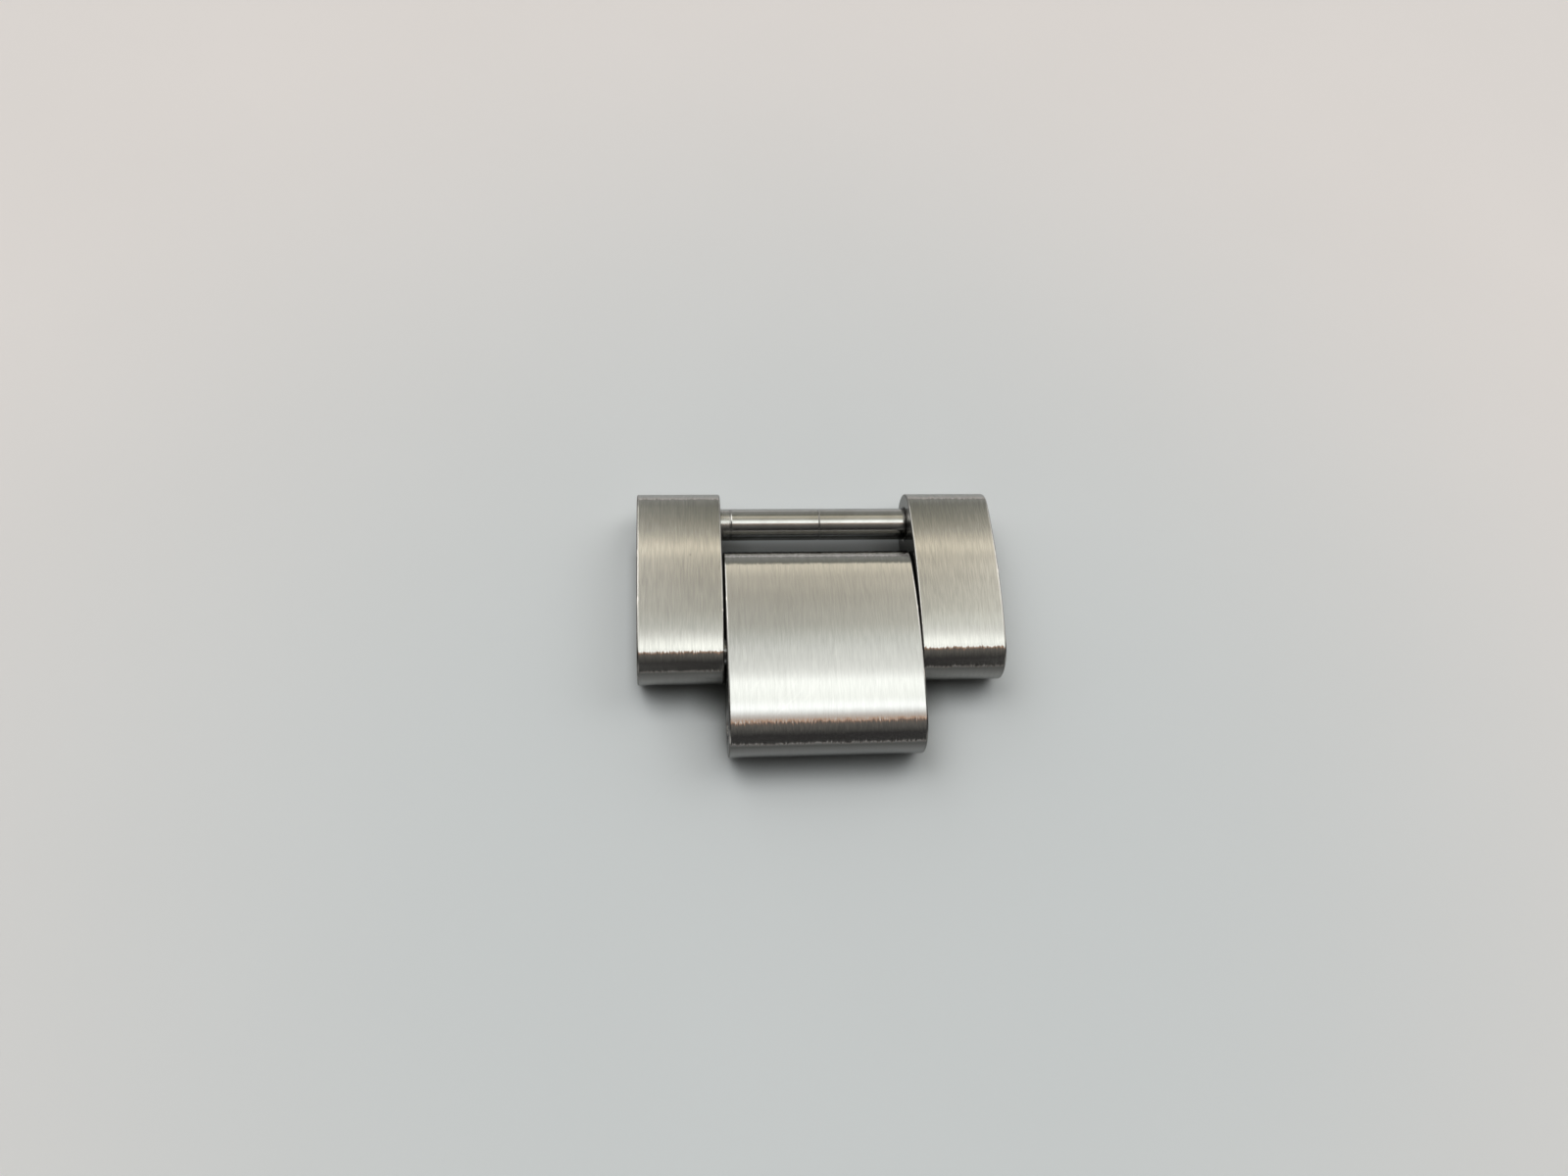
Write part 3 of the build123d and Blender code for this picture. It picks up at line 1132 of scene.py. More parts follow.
class Lathe:
    """Geometry Nodes tree that turns a profile round a pin's axis.

    The profile is a line of points (x, radius, 0). Between two places the
    tree cuts a screw thread: its ridges follow a helix and fade at the ends.
    """

    INPUTS = (
        ("Axis Y", "NodeSocketFloat"),
        ("Axis Z", "NodeSocketFloat"),
        ("Steps", "NodeSocketInt"),
        ("Thread Start", "NodeSocketFloat"),
        ("Thread End", "NodeSocketFloat"),
        ("Thread Pitch", "NodeSocketFloat"),
        ("Thread Height", "NodeSocketFloat"),
        ("Slotted", "NodeSocketBool"),
        ("Slot X", "NodeSocketFloat"),
        ("Slot Width", "NodeSocketFloat"),
        ("Slot Depth", "NodeSocketFloat"),
        ("Slot Turn", "NodeSocketFloat"),
        ("Finish", "NodeSocketMaterial"),
    )
    STEPS = 128
    MERGE_DISTANCE = 0.0002 * MM
    CUTTER_LENGTH = 4.0 * MM
    SHARP_DEGREES = 24

    def __init__(self) -> None:
        """Builds the tree once for all pins."""
        self.tree = bpy.data.node_groups.new("pin_lathe", "GeometryNodeTree")
        interface = self.tree.interface
        interface.new_socket("Geometry", in_out="INPUT", socket_type="NodeSocketGeometry")
        for label, kind in self.INPUTS:
            interface.new_socket(label, in_out="INPUT", socket_type=kind)
        interface.new_socket("Geometry", in_out="OUTPUT", socket_type="NodeSocketGeometry")
        self.sheet = NodeSheet(self.tree)
        self.given = self.sheet.add("NodeGroupInput").outputs
        slotted = self.slot_cut(self.turned_surface())
        smooth = self.sheet.add("GeometryNodeSetShadeSmooth", {"Geometry": slotted})
        real = self.sheet.add("GeometryNodeRealizeInstances", {"Geometry": smooth.outputs[0]})
        dressed = self.sheet.add(
            "GeometryNodeSetMaterial", {"Geometry": real.outputs[0], "Material": self.given["Finish"]}
        )
        self.sheet.add("NodeGroupOutput", {0: dressed.outputs[0]})

    def turned_surface(self) -> Socket:
        """Draws the part of the tree that turns the profile.

        Returns:
            The turned and closed mesh.
        """
        sheet = self.sheet
        given = self.given
        size = sheet.add("GeometryNodeAttributeDomainSize", {"Geometry": given["Geometry"]})
        columns = sheet.plus(given["Steps"], 1.0)
        grid = sheet.add(
            "GeometryNodeMeshGrid", {"Vertices X": size.outputs["Point Count"], "Vertices Y": columns}
        )
        index = sheet.add("GeometryNodeInputIndex").outputs[0]
        row = sheet.maths("FLOOR", sheet.over(sheet.plus(index, 0.5), columns))
        column = sheet.minus(index, sheet.times(row, columns))
        position = sheet.add("GeometryNodeInputPosition").outputs[0]
        sample = sheet.add(
            "GeometryNodeSampleIndex",
            {"Geometry": given["Geometry"], "Index": row, "Value": position},
            data_type="FLOAT_VECTOR",
        )
        x, radius, _ = sheet.split(sample.outputs[0])
        turn = sheet.over(column, given["Steps"])
        from_start = sheet.minus(x, given["Thread Start"])
        to_end = sheet.minus(given["Thread End"], x)
        phase = sheet.maths("FRACT", sheet.minus(sheet.over(from_start, given["Thread Pitch"]), turn))
        ridge = sheet.minus(1.0, sheet.unsigned(sheet.minus(sheet.times(phase, 2.0), 1.0)))
        inside = sheet.maths("MINIMUM", from_start, to_end)
        fade = sheet.maths("DIVIDE", inside, given["Thread Pitch"], clamp=True)
        reach = sheet.plus(radius, sheet.times(sheet.times(ridge, fade), given["Thread Height"]))
        angle = sheet.times(turn, 2 * math.pi)
        place = sheet.vector(
            x,
            sheet.plus(given["Axis Y"], sheet.times(reach, sheet.maths("COSINE", angle))),
            sheet.plus(given["Axis Z"], sheet.times(reach, sheet.maths("SINE", angle))),
        )
        placed = sheet.add(
            "GeometryNodeSetPosition", {"Geometry": grid.outputs["Mesh"], "Position": place}
        )
        merged = sheet.add(
            "GeometryNodeMergeByDistance",
            {"Geometry": placed.outputs[0], "Distance": self.MERGE_DISTANCE},
        )
        return sheet.add("GeometryNodeFlipFaces", {"Mesh": merged.outputs[0]}).outputs[0]

    def slot_cut(self, turned: Socket) -> Socket:
        """Draws the part of the tree that cuts a screwdriver slot.

        Args:
            turned: the turned mesh.

        Returns:
            The mesh, slotted where its pin asks for it.
        """
        sheet = self.sheet
        given = self.given
        size = sheet.vector(sheet.times(given["Slot Depth"], 2.0), self.CUTTER_LENGTH, given["Slot Width"])
        cutter = sheet.add("GeometryNodeMeshCube", {"Size": size})
        placed = sheet.add(
            "GeometryNodeTransform",
            {
                "Geometry": cutter.outputs[0],
                "Translation": sheet.vector(given["Slot X"], given["Axis Y"], given["Axis Z"]),
                "Rotation": sheet.vector(given["Slot Turn"], 0.0, 0.0),
            },
        )
        cut = sheet.add(
            "GeometryNodeMeshBoolean", {0: turned, 1: placed.outputs[0]},
            operation="DIFFERENCE", solver="EXACT",
        )
        switch = sheet.add(
            "GeometryNodeSwitch",
            {"Switch": given["Slotted"], "False": turned, "True": cut.outputs[0]},
            input_type="GEOMETRY",
        )
        return switch.outputs[0]

    def turn_pin(self, name: str, profile: Profile, values: dict[str, object]) -> bpy.types.Object:
        """Turns one pin.

        Args:
            name: the piece's name.
            profile: (x, radius) points, with the steel on the right of the
                way that they go.
            values: values for the tree's inputs, by name.

        Returns:
            The pin's object as a plain mesh at the origin.
        """
        line = bpy.data.meshes.new(name + "_profile")
        points = [(x, radius, 0.0) for x, radius in profile]
        line.from_pydata(points, [(n, n + 1) for n in range(len(points) - 1)], [])
        blank = bpy.data.objects.new(name + "_blank", line)
        bpy.context.scene.collection.objects.link(blank)
        modifier = blank.modifiers.new("lathe", "NODES")
        modifier.node_group = self.tree
        keys = {
            item.name: item.identifier
            for item in self.tree.interface.items_tree
            if item.in_out == "INPUT"
        }
        modifier[keys["Steps"]] = self.STEPS
        for label, value in values.items():
            modifier[keys[label]] = value
        graph = bpy.context.evaluated_depsgraph_get()
        graph.update()
        mesh = bpy.data.meshes.new_from_object(blank.evaluated_get(graph), depsgraph=graph)
        blank.modifiers.remove(modifier)
        bpy.data.objects.remove(blank)
        bpy.data.meshes.remove(line)
        mesh.name = name
        return smooth_piece(name, mesh, self.SHARP_DEGREES)


def add_piece(piece: bpy.types.Object, body: Body, node: str) -> None:
    """Puts a piece on its body, in place of a CAD node.

    Args:
        piece: the piece.
        body: the body that it moves with.
        node: the CAD node that it stands for.
    """
    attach(piece, body.value)
    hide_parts(node)
    log.info("%s: %d faces on %s", piece.name, len(piece.data.polygons), body.value)


@dataclass(frozen=True)
class LinkSizes:
    """Places and radii of the whole link, read from the frame, in metres."""

    axis_height: float
    hinge_y: float
    far_pin_y: float
    open_bore_y: float
    pin_bore_radius: float
    pin_radius: float
    hinge_radius: float
    head_radius: float
    edge: float = 0.08 * MM
    mouth_chamfer: float = 0.06 * MM
    pin_clearance: float = 0.05 * MM
    hinge_clearance: float = 0.04 * MM
    head_clearance: float = 0.05 * MM
    counterbore_depth: float = 0.66 * MM
    counterbore_chamfer: float = 0.03 * MM

    @classmethod
    def from_frame(cls) -> "LinkSizes":
        """Reads the sizes.

        Returns:
            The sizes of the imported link.
        """
        hinge = joint_place("centre_link_pivot")
        bore = mount_of("open_bore")
        far_pin = mount_of("far_pin_station")
        bore_radius = bore["dims"]["r_mm"] * MM
        hinge_low, hinge_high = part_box("hinge_pin")
        screw_low, screw_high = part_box("pin_screw")
        return cls(
            axis_height=hinge.z,
            hinge_y=hinge.y,
            far_pin_y=far_pin["pos_m"][1],
            open_bore_y=bore["pos_m"][1],
            pin_bore_radius=bore_radius,
            pin_radius=bore_radius - cls.pin_clearance,
            hinge_radius=(hinge_high.z - hinge_low.z) / 2,
            head_radius=(screw_high.z - screw_low.z) / 2,
        )

    def plain_bore(self, y: float, left: float, right: float, radius: float) -> Bore:
        """Gives a straight bore with both mouths chamfered.

        Args:
            y: its place.
            left: x of the bar's left face.
            right: x of its right face.
            radius: the bore's radius.

        Returns:
            The bore.
        """
        chamfer = self.mouth_chamfer
        steps = (
            (left, radius + chamfer),
            (left + chamfer, radius),
            (right - chamfer, radius),
            (right, radius + chamfer),
        )
        return Bore(y, steps)

    def counterbored(self, side: Side, left: float, right: float) -> Bore:
        """Gives the far pin's bore in one outer link, with room for the head.

        Args:
            side: which link.
            left: x of the bar's left face.
            right: x of its right face.

        Returns:
            The bore, counterbored from the outer face.
        """
        outer_x, inner_x = (left, right) if side is Side.LEFT else (right, left)
        inwards = -side.value
        head = self.head_radius + self.head_clearance
        steps = [
            (outer_x, head + self.counterbore_chamfer),
            (outer_x + inwards * self.counterbore_chamfer, head),
            (outer_x + inwards * self.counterbore_depth, head),
            (outer_x + inwards * self.counterbore_depth, self.pin_bore_radius),
            (inner_x - inwards * self.mouth_chamfer, self.pin_bore_radius),
            (inner_x, self.pin_bore_radius + self.mouth_chamfer),
        ]
        if side is Side.RIGHT:
            steps.reverse()
        return Bore(self.far_pin_y, tuple(steps))


@dataclass(frozen=True)
class OuterLinks:
    """The two outer bars, with the hinge pin pressed through them."""

    sizes: LinkSizes
    left_finish: BrushedSteel = BrushedSteel("brushed_steel_left", seed=1.7)
    right_finish: BrushedSteel = BrushedSteel("brushed_steel_right", seed=9.2)
    pin_finish: PolishedSteel = PolishedSteel("polished_steel_hinge_pin", seed=4.4, roughness=0.2)

    def bar(self, side: Side, groups: FinishGroups) -> bpy.types.Object:
        """Builds and dresses one bar.

        Args:
            side: which bar.
            groups: the shared shader groups.

        Returns:
            The bar's object.
        """
        sizes = self.sizes
        node = "left_outer_link" if side is Side.LEFT else "right_outer_link"
        finish = self.left_finish if side is Side.LEFT else self.right_finish
        lowest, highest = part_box(node)
        outline = SideOutline.in_box(lowest, highest, sizes.axis_height)
        mesh = BarMesh(node + "_bar", lowest.x, highest.x, outline, sizes.edge)
        mesh.drill(sizes.counterbored(side, lowest.x, highest.x))
        mesh.drill(sizes.plain_bore(sizes.hinge_y, lowest.x, highest.x, sizes.hinge_radius))
        piece = mesh.finish()
        piece.data.materials.append(finish.material(groups))
        add_piece(piece, Body.SIDE_LINKS, node)
        return piece

    def hinge_pin(self, lathe: Lathe, groups: FinishGroups) -> bpy.types.Object:
        """Turns and dresses the hinge pin.

        Args:
            lathe: the pin lathe.
            groups: the shared shader groups.

        Returns:
            The pin's object.
        """
        lowest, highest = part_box("hinge_pin")
        chamfer = self.sizes.mouth_chamfer
        radius = self.sizes.hinge_radius
        profile = [
            (lowest.x, 0.0),
            (lowest.x, radius - chamfer),
            (lowest.x + chamfer, radius),
            (highest.x - chamfer, radius),
            (highest.x, radius - chamfer),
            (highest.x, 0.0),
        ]
        # The pin has no thread, and a pitch of one only keeps the tree from dividing by nought
        values = {
            "Axis Y": self.sizes.hinge_y,
            "Axis Z": self.sizes.axis_height,
            "Thread Pitch": 1.0,
            "Slotted": False,
            "Finish": self.pin_finish.material(groups),
        }
        piece = lathe.turn_pin("hinge_pin_rod", profile, values)
        add_piece(piece, Body.SIDE_LINKS, "hinge_pin")
        return piece

    def build(self, lathe: Lathe, groups: FinishGroups) -> list[bpy.types.Object]:
        """Builds the bars and their pin."""
        bars = [self.bar(side, groups) for side in Side]
        return [*bars, self.hinge_pin(lathe, groups)]


@dataclass(frozen=True)
class CentreLink:
    """The wide bar that turns on the hinge pin."""

    sizes: LinkSizes
    finish: BrushedSteel = BrushedSteel(
        "brushed_steel_centre",
        seed=5.6,
        colour=(0.572, 0.57, 0.566),
        dark_line=(0.466, 0.464, 0.461),
        near_smoothing=0.55,
    )
    leans: tuple[tuple[float, float], ...] = ((0.0, 5.4), (0.22, 3.2), (0.5, 6.9), (1.0, 6.9))

    def build(self, groups: FinishGroups) -> bpy.types.Object:
        """Builds and dresses the bar.

        Args:
            groups: the shared shader groups.

        Returns:
            The bar's object.
        """
        sizes = self.sizes
        lowest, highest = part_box("centre_link")
        outline = SideOutline.in_box(lowest, highest, sizes.axis_height)
        mesh = BarMesh("centre_link_bar", lowest.x, highest.x, outline, sizes.edge, self.leans)
        hinge_bore = sizes.hinge_radius + sizes.hinge_clearance
        mesh.drill(sizes.plain_bore(sizes.hinge_y, lowest.x, highest.x, hinge_bore))
        mesh.drill(sizes.plain_bore(sizes.open_bore_y, lowest.x, highest.x, sizes.pin_bore_radius))
        piece = mesh.finish()
        piece.data.materials.append(self.finish.material(groups))
        add_piece(piece, Body.CENTRE, "centre_link")
        return piece


@dataclass(frozen=True)
class FarPin:
    """The far pin in its two halves, which screw together at the seam."""

    sizes: LinkSizes
    head_height: float = 0.6 * MM
    head_chamfer: float = 0.08 * MM
    seam_chamfer: float = 0.04 * MM
    ring_from_seam: float = 4.29 * MM
    ring_width: float = 0.12 * MM
    ring_depth: float = 0.014 * MM
    ring_floor_share: float = 0.35
    ring_floor_depth_share: float = 0.85
    slot_width: float = 0.3 * MM
    slot_depth: float = 0.28 * MM
    slot_turn: float = math.radians(25.0)
    spigot_radius: float = 0.39 * MM
    thread_relief: float = 0.2 * MM
    thread_length: float = 2.75 * MM
    thread_pitch: float = 0.25 * MM
    thread_height: float = 0.09 * MM
    rows_to_a_turn: int = 12
    bore_radius: float = 0.51 * MM
    bore_depth: float = 3.5 * MM
    bore_groove: float = 0.05 * MM
    drill_half_angle: float = math.radians(59.0)
    screw_finish: PolishedSteel = PolishedSteel("polished_steel_screw", seed=2.3)
    tube_finish: PolishedSteel = PolishedSteel(
        "polished_steel_tube", seed=7.9, groove_width=0.3 * MM, groove_shade=0.8
    )

    def ring(self, x: float) -> list[tuple[float, float]]:
        """Gives the profile of the shallow ring turned into the pin.

        Args:
            x: the ring's place.

        Returns:
            Its points, with the groove's floor rounded, and one more on each
            side that keeps the pin's shading straight up to the groove.
        """
        half = self.ring_width / 2
        floor = half * self.ring_floor_share
        floor_depth = self.ring_depth * self.ring_floor_depth_share
        rise = [(floor, floor_depth), (half, 0.0), (half + self.ring_depth, 0.0)]
        radius = self.sizes.pin_radius
        return [
            *((x - away, radius - depth) for away, depth in reversed(rise)),
            (x, radius - self.ring_depth),
            *((x + away, radius - depth) for away, depth in rise),
        ]

    def thread_rows(self, start: float, end: float, radius: float) -> list[tuple[float, float]]:
        """Places the close rows of points that the thread needs, on the plain cylinder under it."""
        count = round((end - start) / self.thread_pitch * self.rows_to_a_turn)
        return [(start + (end - start) * n / count, radius) for n in range(count + 1)]

    def values(
        self, slot_x: float, start: float, end: float, height: float, finish: bpy.types.Material
    ) -> dict[str, object]:
        """Gathers the lathe's values for one half.

        Args:
            slot_x: x of the head's end, where the slot is cut.
            start: where the thread starts.
            end: where it ends.
            height: how far its ridges stand up.
            finish: the half's material.

        Returns:
            Values by the names of the lathe's inputs.
        """
        return {
            "Axis Y": self.sizes.far_pin_y,
            "Axis Z": self.sizes.axis_height,
            "Thread Start": start,
            "Thread End": end,
            "Thread Pitch": self.thread_pitch,
            "Thread Height": height,
            "Slotted": True,
            "Slot X": slot_x,
            "Slot Width": self.slot_width,
            "Slot Depth": self.slot_depth,
            "Slot Turn": self.slot_turn,
            "Finish": finish,
        }

    def screw_half(self, lathe: Lathe, groups: FinishGroups) -> bpy.types.Object:
        """Turns the left half, with the threaded spigot.

        Args:
            lathe: the pin lathe.
            groups: the shared shader groups.

        Returns:
            The half's object.
        """
        lowest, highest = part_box("pin_screw")
        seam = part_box("pin_tube")[0].x
        ring_x = seam - self.ring_from_seam
        radius = self.sizes.pin_radius
        head = self.sizes.head_radius
        start = seam + self.thread_relief
        end = start + self.thread_length
        profile = [
            (lowest.x, 0.0),
            (lowest.x, head - self.head_chamfer),
            (lowest.x + self.head_chamfer, head),
            (lowest.x + self.head_height, head),
            (lowest.x + self.head_height, radius),
            *self.ring(ring_x),
            (seam - self.seam_chamfer, radius),
            (seam, radius - self.seam_chamfer),
            (seam, self.spigot_radius),
            *self.thread_rows(start, end, self.spigot_radius),
            (highest.x, self.spigot_radius - self.thread_height),
            (highest.x, 0.0),
        ]
        finish = replace(self.screw_finish, groove_x=ring_x, dull_below_x=ring_x).material(groups)
        values = self.values(lowest.x, start, end, self.thread_height, finish)
        piece = lathe.turn_pin("far_pin_screw_half", profile, values)
        add_piece(piece, Body.SCREW_HALF, "pin_screw")
        return piece

    def tapped_half(self, lathe: Lathe, groups: FinishGroups) -> bpy.types.Object:
        """Turns the right half, with the tapped bore.

        Args:
            lathe: the pin lathe.
            groups: the shared shader groups.

        Returns:
            The half's object.
        """
        lowest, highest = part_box("pin_tube")
        seam = lowest.x
        ring_x = seam + self.ring_from_seam
        radius = self.sizes.pin_radius
        head = self.sizes.head_radius
        start = seam + self.sizes.mouth_chamfer
        end = seam + self.bore_depth
        point = self.bore_radius / math.tan(self.drill_half_angle)
        profile = [
            (end + point, 0.0),
            *reversed(self.thread_rows(start, end, self.bore_radius)),
            (seam, self.bore_radius + self.sizes.mouth_chamfer),
            (seam, radius - self.seam_chamfer),
            (seam + self.seam_chamfer, radius),
            *self.ring(ring_x),
            (highest.x - self.head_height, radius),
            (highest.x - self.head_height, head),
            (highest.x - self.head_chamfer, head),
            (highest.x, head - self.head_chamfer),
            (highest.x, 0.0),
        ]
        finish = replace(self.tube_finish, groove_x=ring_x).material(groups)
        values = self.values(highest.x, start, end, self.bore_groove, finish)
        piece = lathe.turn_pin("far_pin_tapped_half", profile, values)
        add_piece(piece, Body.TAPPED_HALF, "pin_tube")
        return piece

    def build(self, lathe: Lathe, groups: FinishGroups) -> list[bpy.types.Object]:
        """Builds both halves."""
        return [self.screw_half(lathe, groups), self.tapped_half(lathe, groups)]


@dataclass(frozen=True)
class Studio:
    """Table, light and camera round the link.

    The light comes in bands over the angle from straight up towards the
    viewer, in degrees, with one set of bands in the middle and one at the
    sides. Sideways, places are the x of a direction, from -1 to 1.
    """

    table: TableTop = TableTop()
    table_half_size: float = 1.6
    light_level: float = 1.23
    towards_right: float = 0.15
    overhead_lean: float = 1.8
    overhead_rise: tuple[float, float] = (-31.0, -24.0)
    overhead_fall: tuple[float, float] = (-8.0, -2.0)
    middle_x: float = 0.12
    middle_span: tuple[float, float] = (-0.01, 0.01)
    middle_share: tuple[float, float] = (0.2, 0.34)
    fading_share: tuple[float, float] = (0.5, 0.9)
    outermost_light: float = 0.3
    left_over_right: float = 1.5
    backdrop: Colour = (0.64, 0.61, 0.585)
    backdrop_foot: tuple[float, float] = (0.02, 0.07)
    camera_place: tuple[float, float, float] = (-6.9648 * MM, -19.0116 * MM, 50.1149 * MM)
    camera_right: tuple[float, float, float] = (0.994738, -0.0502, 0.089309)
    camera_up: tuple[float, float, float] = (0.011194, 0.919761, 0.39232)
    lens: float = 25.527
    sensor_width: float = 36.0
    clip: tuple[float, float] = (1.0 * MM, 20.0)
    bands: tuple[Band, ...] = (
        (-180.0, (0.3, 0.3, 0.3)),
        (-88.0, (0.29, 0.29, 0.27)),
        (-68.0, (0.255, 0.255, 0.23)),
        (-48.0, (0.17, 0.17, 0.14)),
        (-42.5, (0.23, 0.22, 0.17)),
        (-38.0, (0.38, 0.36, 0.28)),
        (-35.0, (0.62, 0.56, 0.44)),
        (-32.7, (0.855, 0.785, 0.605)),
        (-31.0, (0.73, 0.665, 0.515)),
        (-28.5, (0.485, 0.445, 0.35)),
        (-21.0, (0.34, 0.32, 0.255)),
        (-10.5, (0.41, 0.405, 0.345)),
        (-5.5, (0.63, 0.645, 0.585)),
        (-2.7, (1.01, 1.02, 0.96)),
        (-0.5, (1.62, 1.66, 1.57)),
        (9.0, (1.46, 1.5, 1.41)),
        (12.6, (1.85, 1.9, 1.86)),
        (13.6, (1.75, 1.8, 1.76)),
        (14.4, (1.05, 1.07, 1.02)),
        (15.1, (0.55, 0.54, 0.5)),
        (15.9, (0.42, 0.37, 0.32)),
        (17.0, (0.74, 0.49, 0.34)),
        (18.6, (0.62, 0.37, 0.25)),
        (20.5, (0.22, 0.17, 0.14)),
        (27.0, (0.16, 0.15, 0.135)),
        (43.0, (0.085, 0.082, 0.075)),
        (57.0, (0.022, 0.02, 0.02)),
        (72.0, (0.025, 0.023, 0.022)),
        (84.0, (0.05, 0.049, 0.047)),
        (91.0, (0.22, 0.22, 0.21)),
        (180.0, (0.3, 0.3, 0.3)),
    )
    side_bands: tuple[Band, ...] = (
        (-180.0, (0.3, 0.3, 0.3)),
        (-90.0, (0.55, 0.55, 0.53)),
        (-60.0, (0.75, 0.75, 0.71)),
        (-48.0, (1.45, 1.43, 1.35)),
        (-38.0, (2.0, 1.97, 1.86)),
        (-28.0, (2.3, 2.27, 2.15)),
        (-18.0, (2.3, 2.27, 2.15)),
        (-8.0, (1.6, 1.58, 1.5)),
        (0.0, (0.2, 0.2, 0.19)),
        (10.0, (0.04, 0.04, 0.04)),
        (42.0, (0.05, 0.05, 0.05)),
        (54.0, (0.14, 0.14, 0.135)),
        (66.0, (0.4, 0.4, 0.385)),
        (88.0, (0.6, 0.6, 0.58)),
        (94.0, (0.3, 0.3, 0.29)),
        (180.0, (0.3, 0.3, 0.3)),
    )

    def build_table(self) -> None:
        """Lays the table under the link, as stage."""
        half = self.table_half_size
        mesh = bpy.data.meshes.new("table_top")
        corners = [(-half, -half, 0.0), (half, -half, 0.0), (half, half, 0.0), (-half, half, 0.0)]
        mesh.from_pydata(corners, [], [(0, 1, 2, 3)])
        mesh.materials.append(self.table.material())
        table = bpy.data.objects.new("table_top", mesh)
        bpy.context.scene.collection.objects.link(table)

    def band_colours(self, sheet: NodeSheet, angle: Socket, bands: Sequence[Band], top: float) -> Socket:
        """Sets bands of light in order over an angle.

        Args:
            sheet: the node tree to add to.
            angle: the angle from straight up towards the viewer, in radians.
            bands: degrees and light of each mark, from far to near.
            top: the light that a full colour stands for.

        Returns:
            The colour at the angle.
        """
        share = sheet.spread(angle, -math.pi, math.pi)
        colours = sheet.add("ShaderNodeValToRGB", {0: share})
        marks = colours.color_ramp.elements
        while len(marks) < len(bands):
            marks.new(0.5)
        for mark, (degrees, colour) in zip(marks, bands):
            mark.position = ramp(degrees, -180.0, 180.0)
            mark.color = rgba(tuple(part / top for part in colour))
        return colours.outputs[0]

    def band_level(self, sheet: NodeSheet, x: Socket, angle: Socket, at_side: Socket) -> Socket:
        """Makes the light uneven from left to right.

        Args:
            sheet: the node tree to add to.
            x: how far to the right the direction points.
            angle: its angle from straight up towards the viewer.
            at_side: how far the bands of the sides hold there.

        Returns:
            The level of the light in the direction.
        """
        across = sheet.minus(x, self.middle_x)
        uneven = math.sqrt(self.left_over_right)
        side_level = sheet.times(
            sheet.spread(
                sheet.unsigned(across), *self.fading_share, 1.0, self.outermost_light, smooth=True
            ),
            sheet.spread(across, *self.middle_span, uneven, 1.0 / uneven),
        )
        rise = (math.radians(degrees) for degrees in self.overhead_rise)
        fall = (math.radians(degrees) for degrees in self.overhead_fall)
        overhead = sheet.times(
            sheet.spread(angle, *rise, smooth=True), sheet.spread(angle, *fall, 1.0, 0.0, smooth=True)
        )
        lean = sheet.spread(overhead, 0.0, 1.0, self.towards_right, self.overhead_lean)
        middle_level = sheet.plus(sheet.times(x, lean), 1.0)
        return sheet.spread(at_side, 0.0, 1.0, middle_level, side_level)

    def build_light(self) -> None:
        """Makes the soft light of the room, in bands from far to near.

        The lights stand in front of a plain pale backdrop. The camera sees the
        backdrop alone, and the metal sees its foot, below the lights.
        """
        world = bpy.data.worlds.new("soft_studio")
        world.use_nodes = True
        world.node_tree.nodes.clear()
        sheet = NodeSheet(world.node_tree)
        x, y, z = sheet.split(sheet.add("ShaderNodeTexCoord").outputs["Generated"])
        angle = sheet.maths("ARCTAN2", sheet.times(y, -1.0), z)
        aside = sheet.unsigned(sheet.minus(x, self.middle_x))
        at_side = sheet.spread(aside, *self.middle_share, smooth=True)
        top = max(max(colour) for _, colour in self.bands + self.side_bands)
        middle = self.band_colours(sheet, angle, self.bands, top)
        sides = self.band_colours(sheet, angle, self.side_bands, top)
        colour = sheet.blend(at_side, middle, sides)
        level = self.band_level(sheet, x, angle, at_side)
        strength = sheet.times(level, top * self.light_level)
        lights = sheet.add("ShaderNodeBackground", {"Color": colour, "Strength": strength})
        backdrop = sheet.add("ShaderNodeBackground", {"Color": rgba(self.backdrop), "Strength": 1.0})
        path = sheet.add("ShaderNodeLightPath").outputs
        mirrored = sheet.maths("ADD", path["Is Glossy Ray"], path["Is Transmission Ray"], clamp=True)
        low = sheet.spread(z, *self.backdrop_foot, 1.0, 0.0, smooth=True)
        shown = sheet.maths("ADD", path["Is Camera Ray"], sheet.times(mirrored, low), clamp=True)
        both = sheet.add(
            "ShaderNodeMixShader", {0: shown, 1: lights.outputs[0], 2: backdrop.outputs[0]}
        )
        sheet.add("ShaderNodeOutputWorld", {"Surface": both.outputs[0]})
        bpy.context.scene.world = world

    def build_camera(self) -> None:
        """Sets the camera at the photograph's angle."""
        data = bpy.data.cameras.new("photo_view")
        data.lens = self.lens
        data.sensor_width = self.sensor_width
        data.clip_start, data.clip_end = self.clip
        camera = bpy.data.objects.new("photo_view", data)
        right = Vector(self.camera_right).normalized()
        back = right.cross(Vector(self.camera_up)).normalized()
        up = back.cross(right)
        turned = Matrix((right, up, back)).transposed().to_4x4()
        camera.matrix_world = Matrix.Translation(self.camera_place) @ turned
        bpy.context.scene.collection.objects.link(camera)
        bpy.context.scene.camera = camera

    def build(self) -> None:
        """Builds the table, the light and the camera."""
        self.build_table()
        self.build_light()
        self.build_camera()
        bpy.context.scene.view_settings.view_transform = "Standard"


def main() -> None:
    """Builds the link piece by piece, then the stage round it."""
    logging.basicConfig(level=logging.INFO, format="%(name)s: %(message)s")
    sizes = LinkSizes.from_frame()
    groups = FinishGroups()
    lathe = Lathe()
    pieces = OuterLinks(sizes).build(lathe, groups)
    pieces.append(CentreLink(sizes).build(groups))
    pieces += FarPin(sizes).build(lathe, groups)
    log.info("%d pieces built", len(pieces))
    Studio().build()


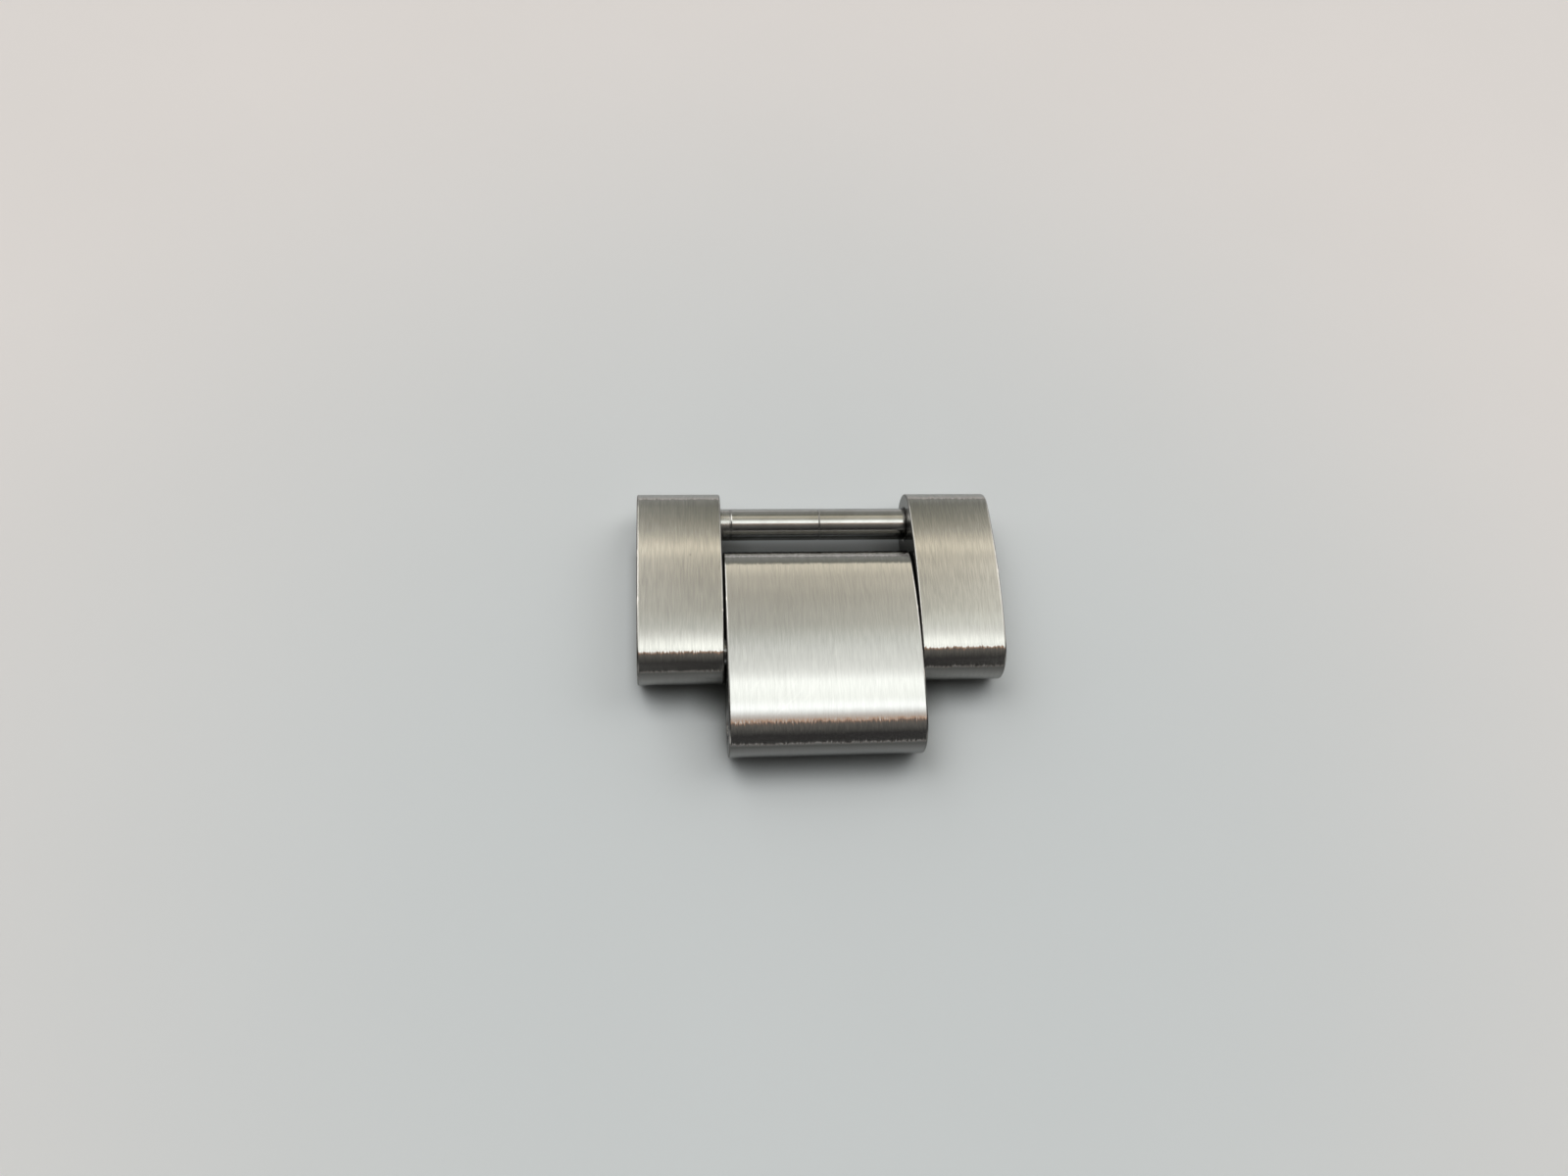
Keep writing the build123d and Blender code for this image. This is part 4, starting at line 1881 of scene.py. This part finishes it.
if __name__ == "__main__":
    main()
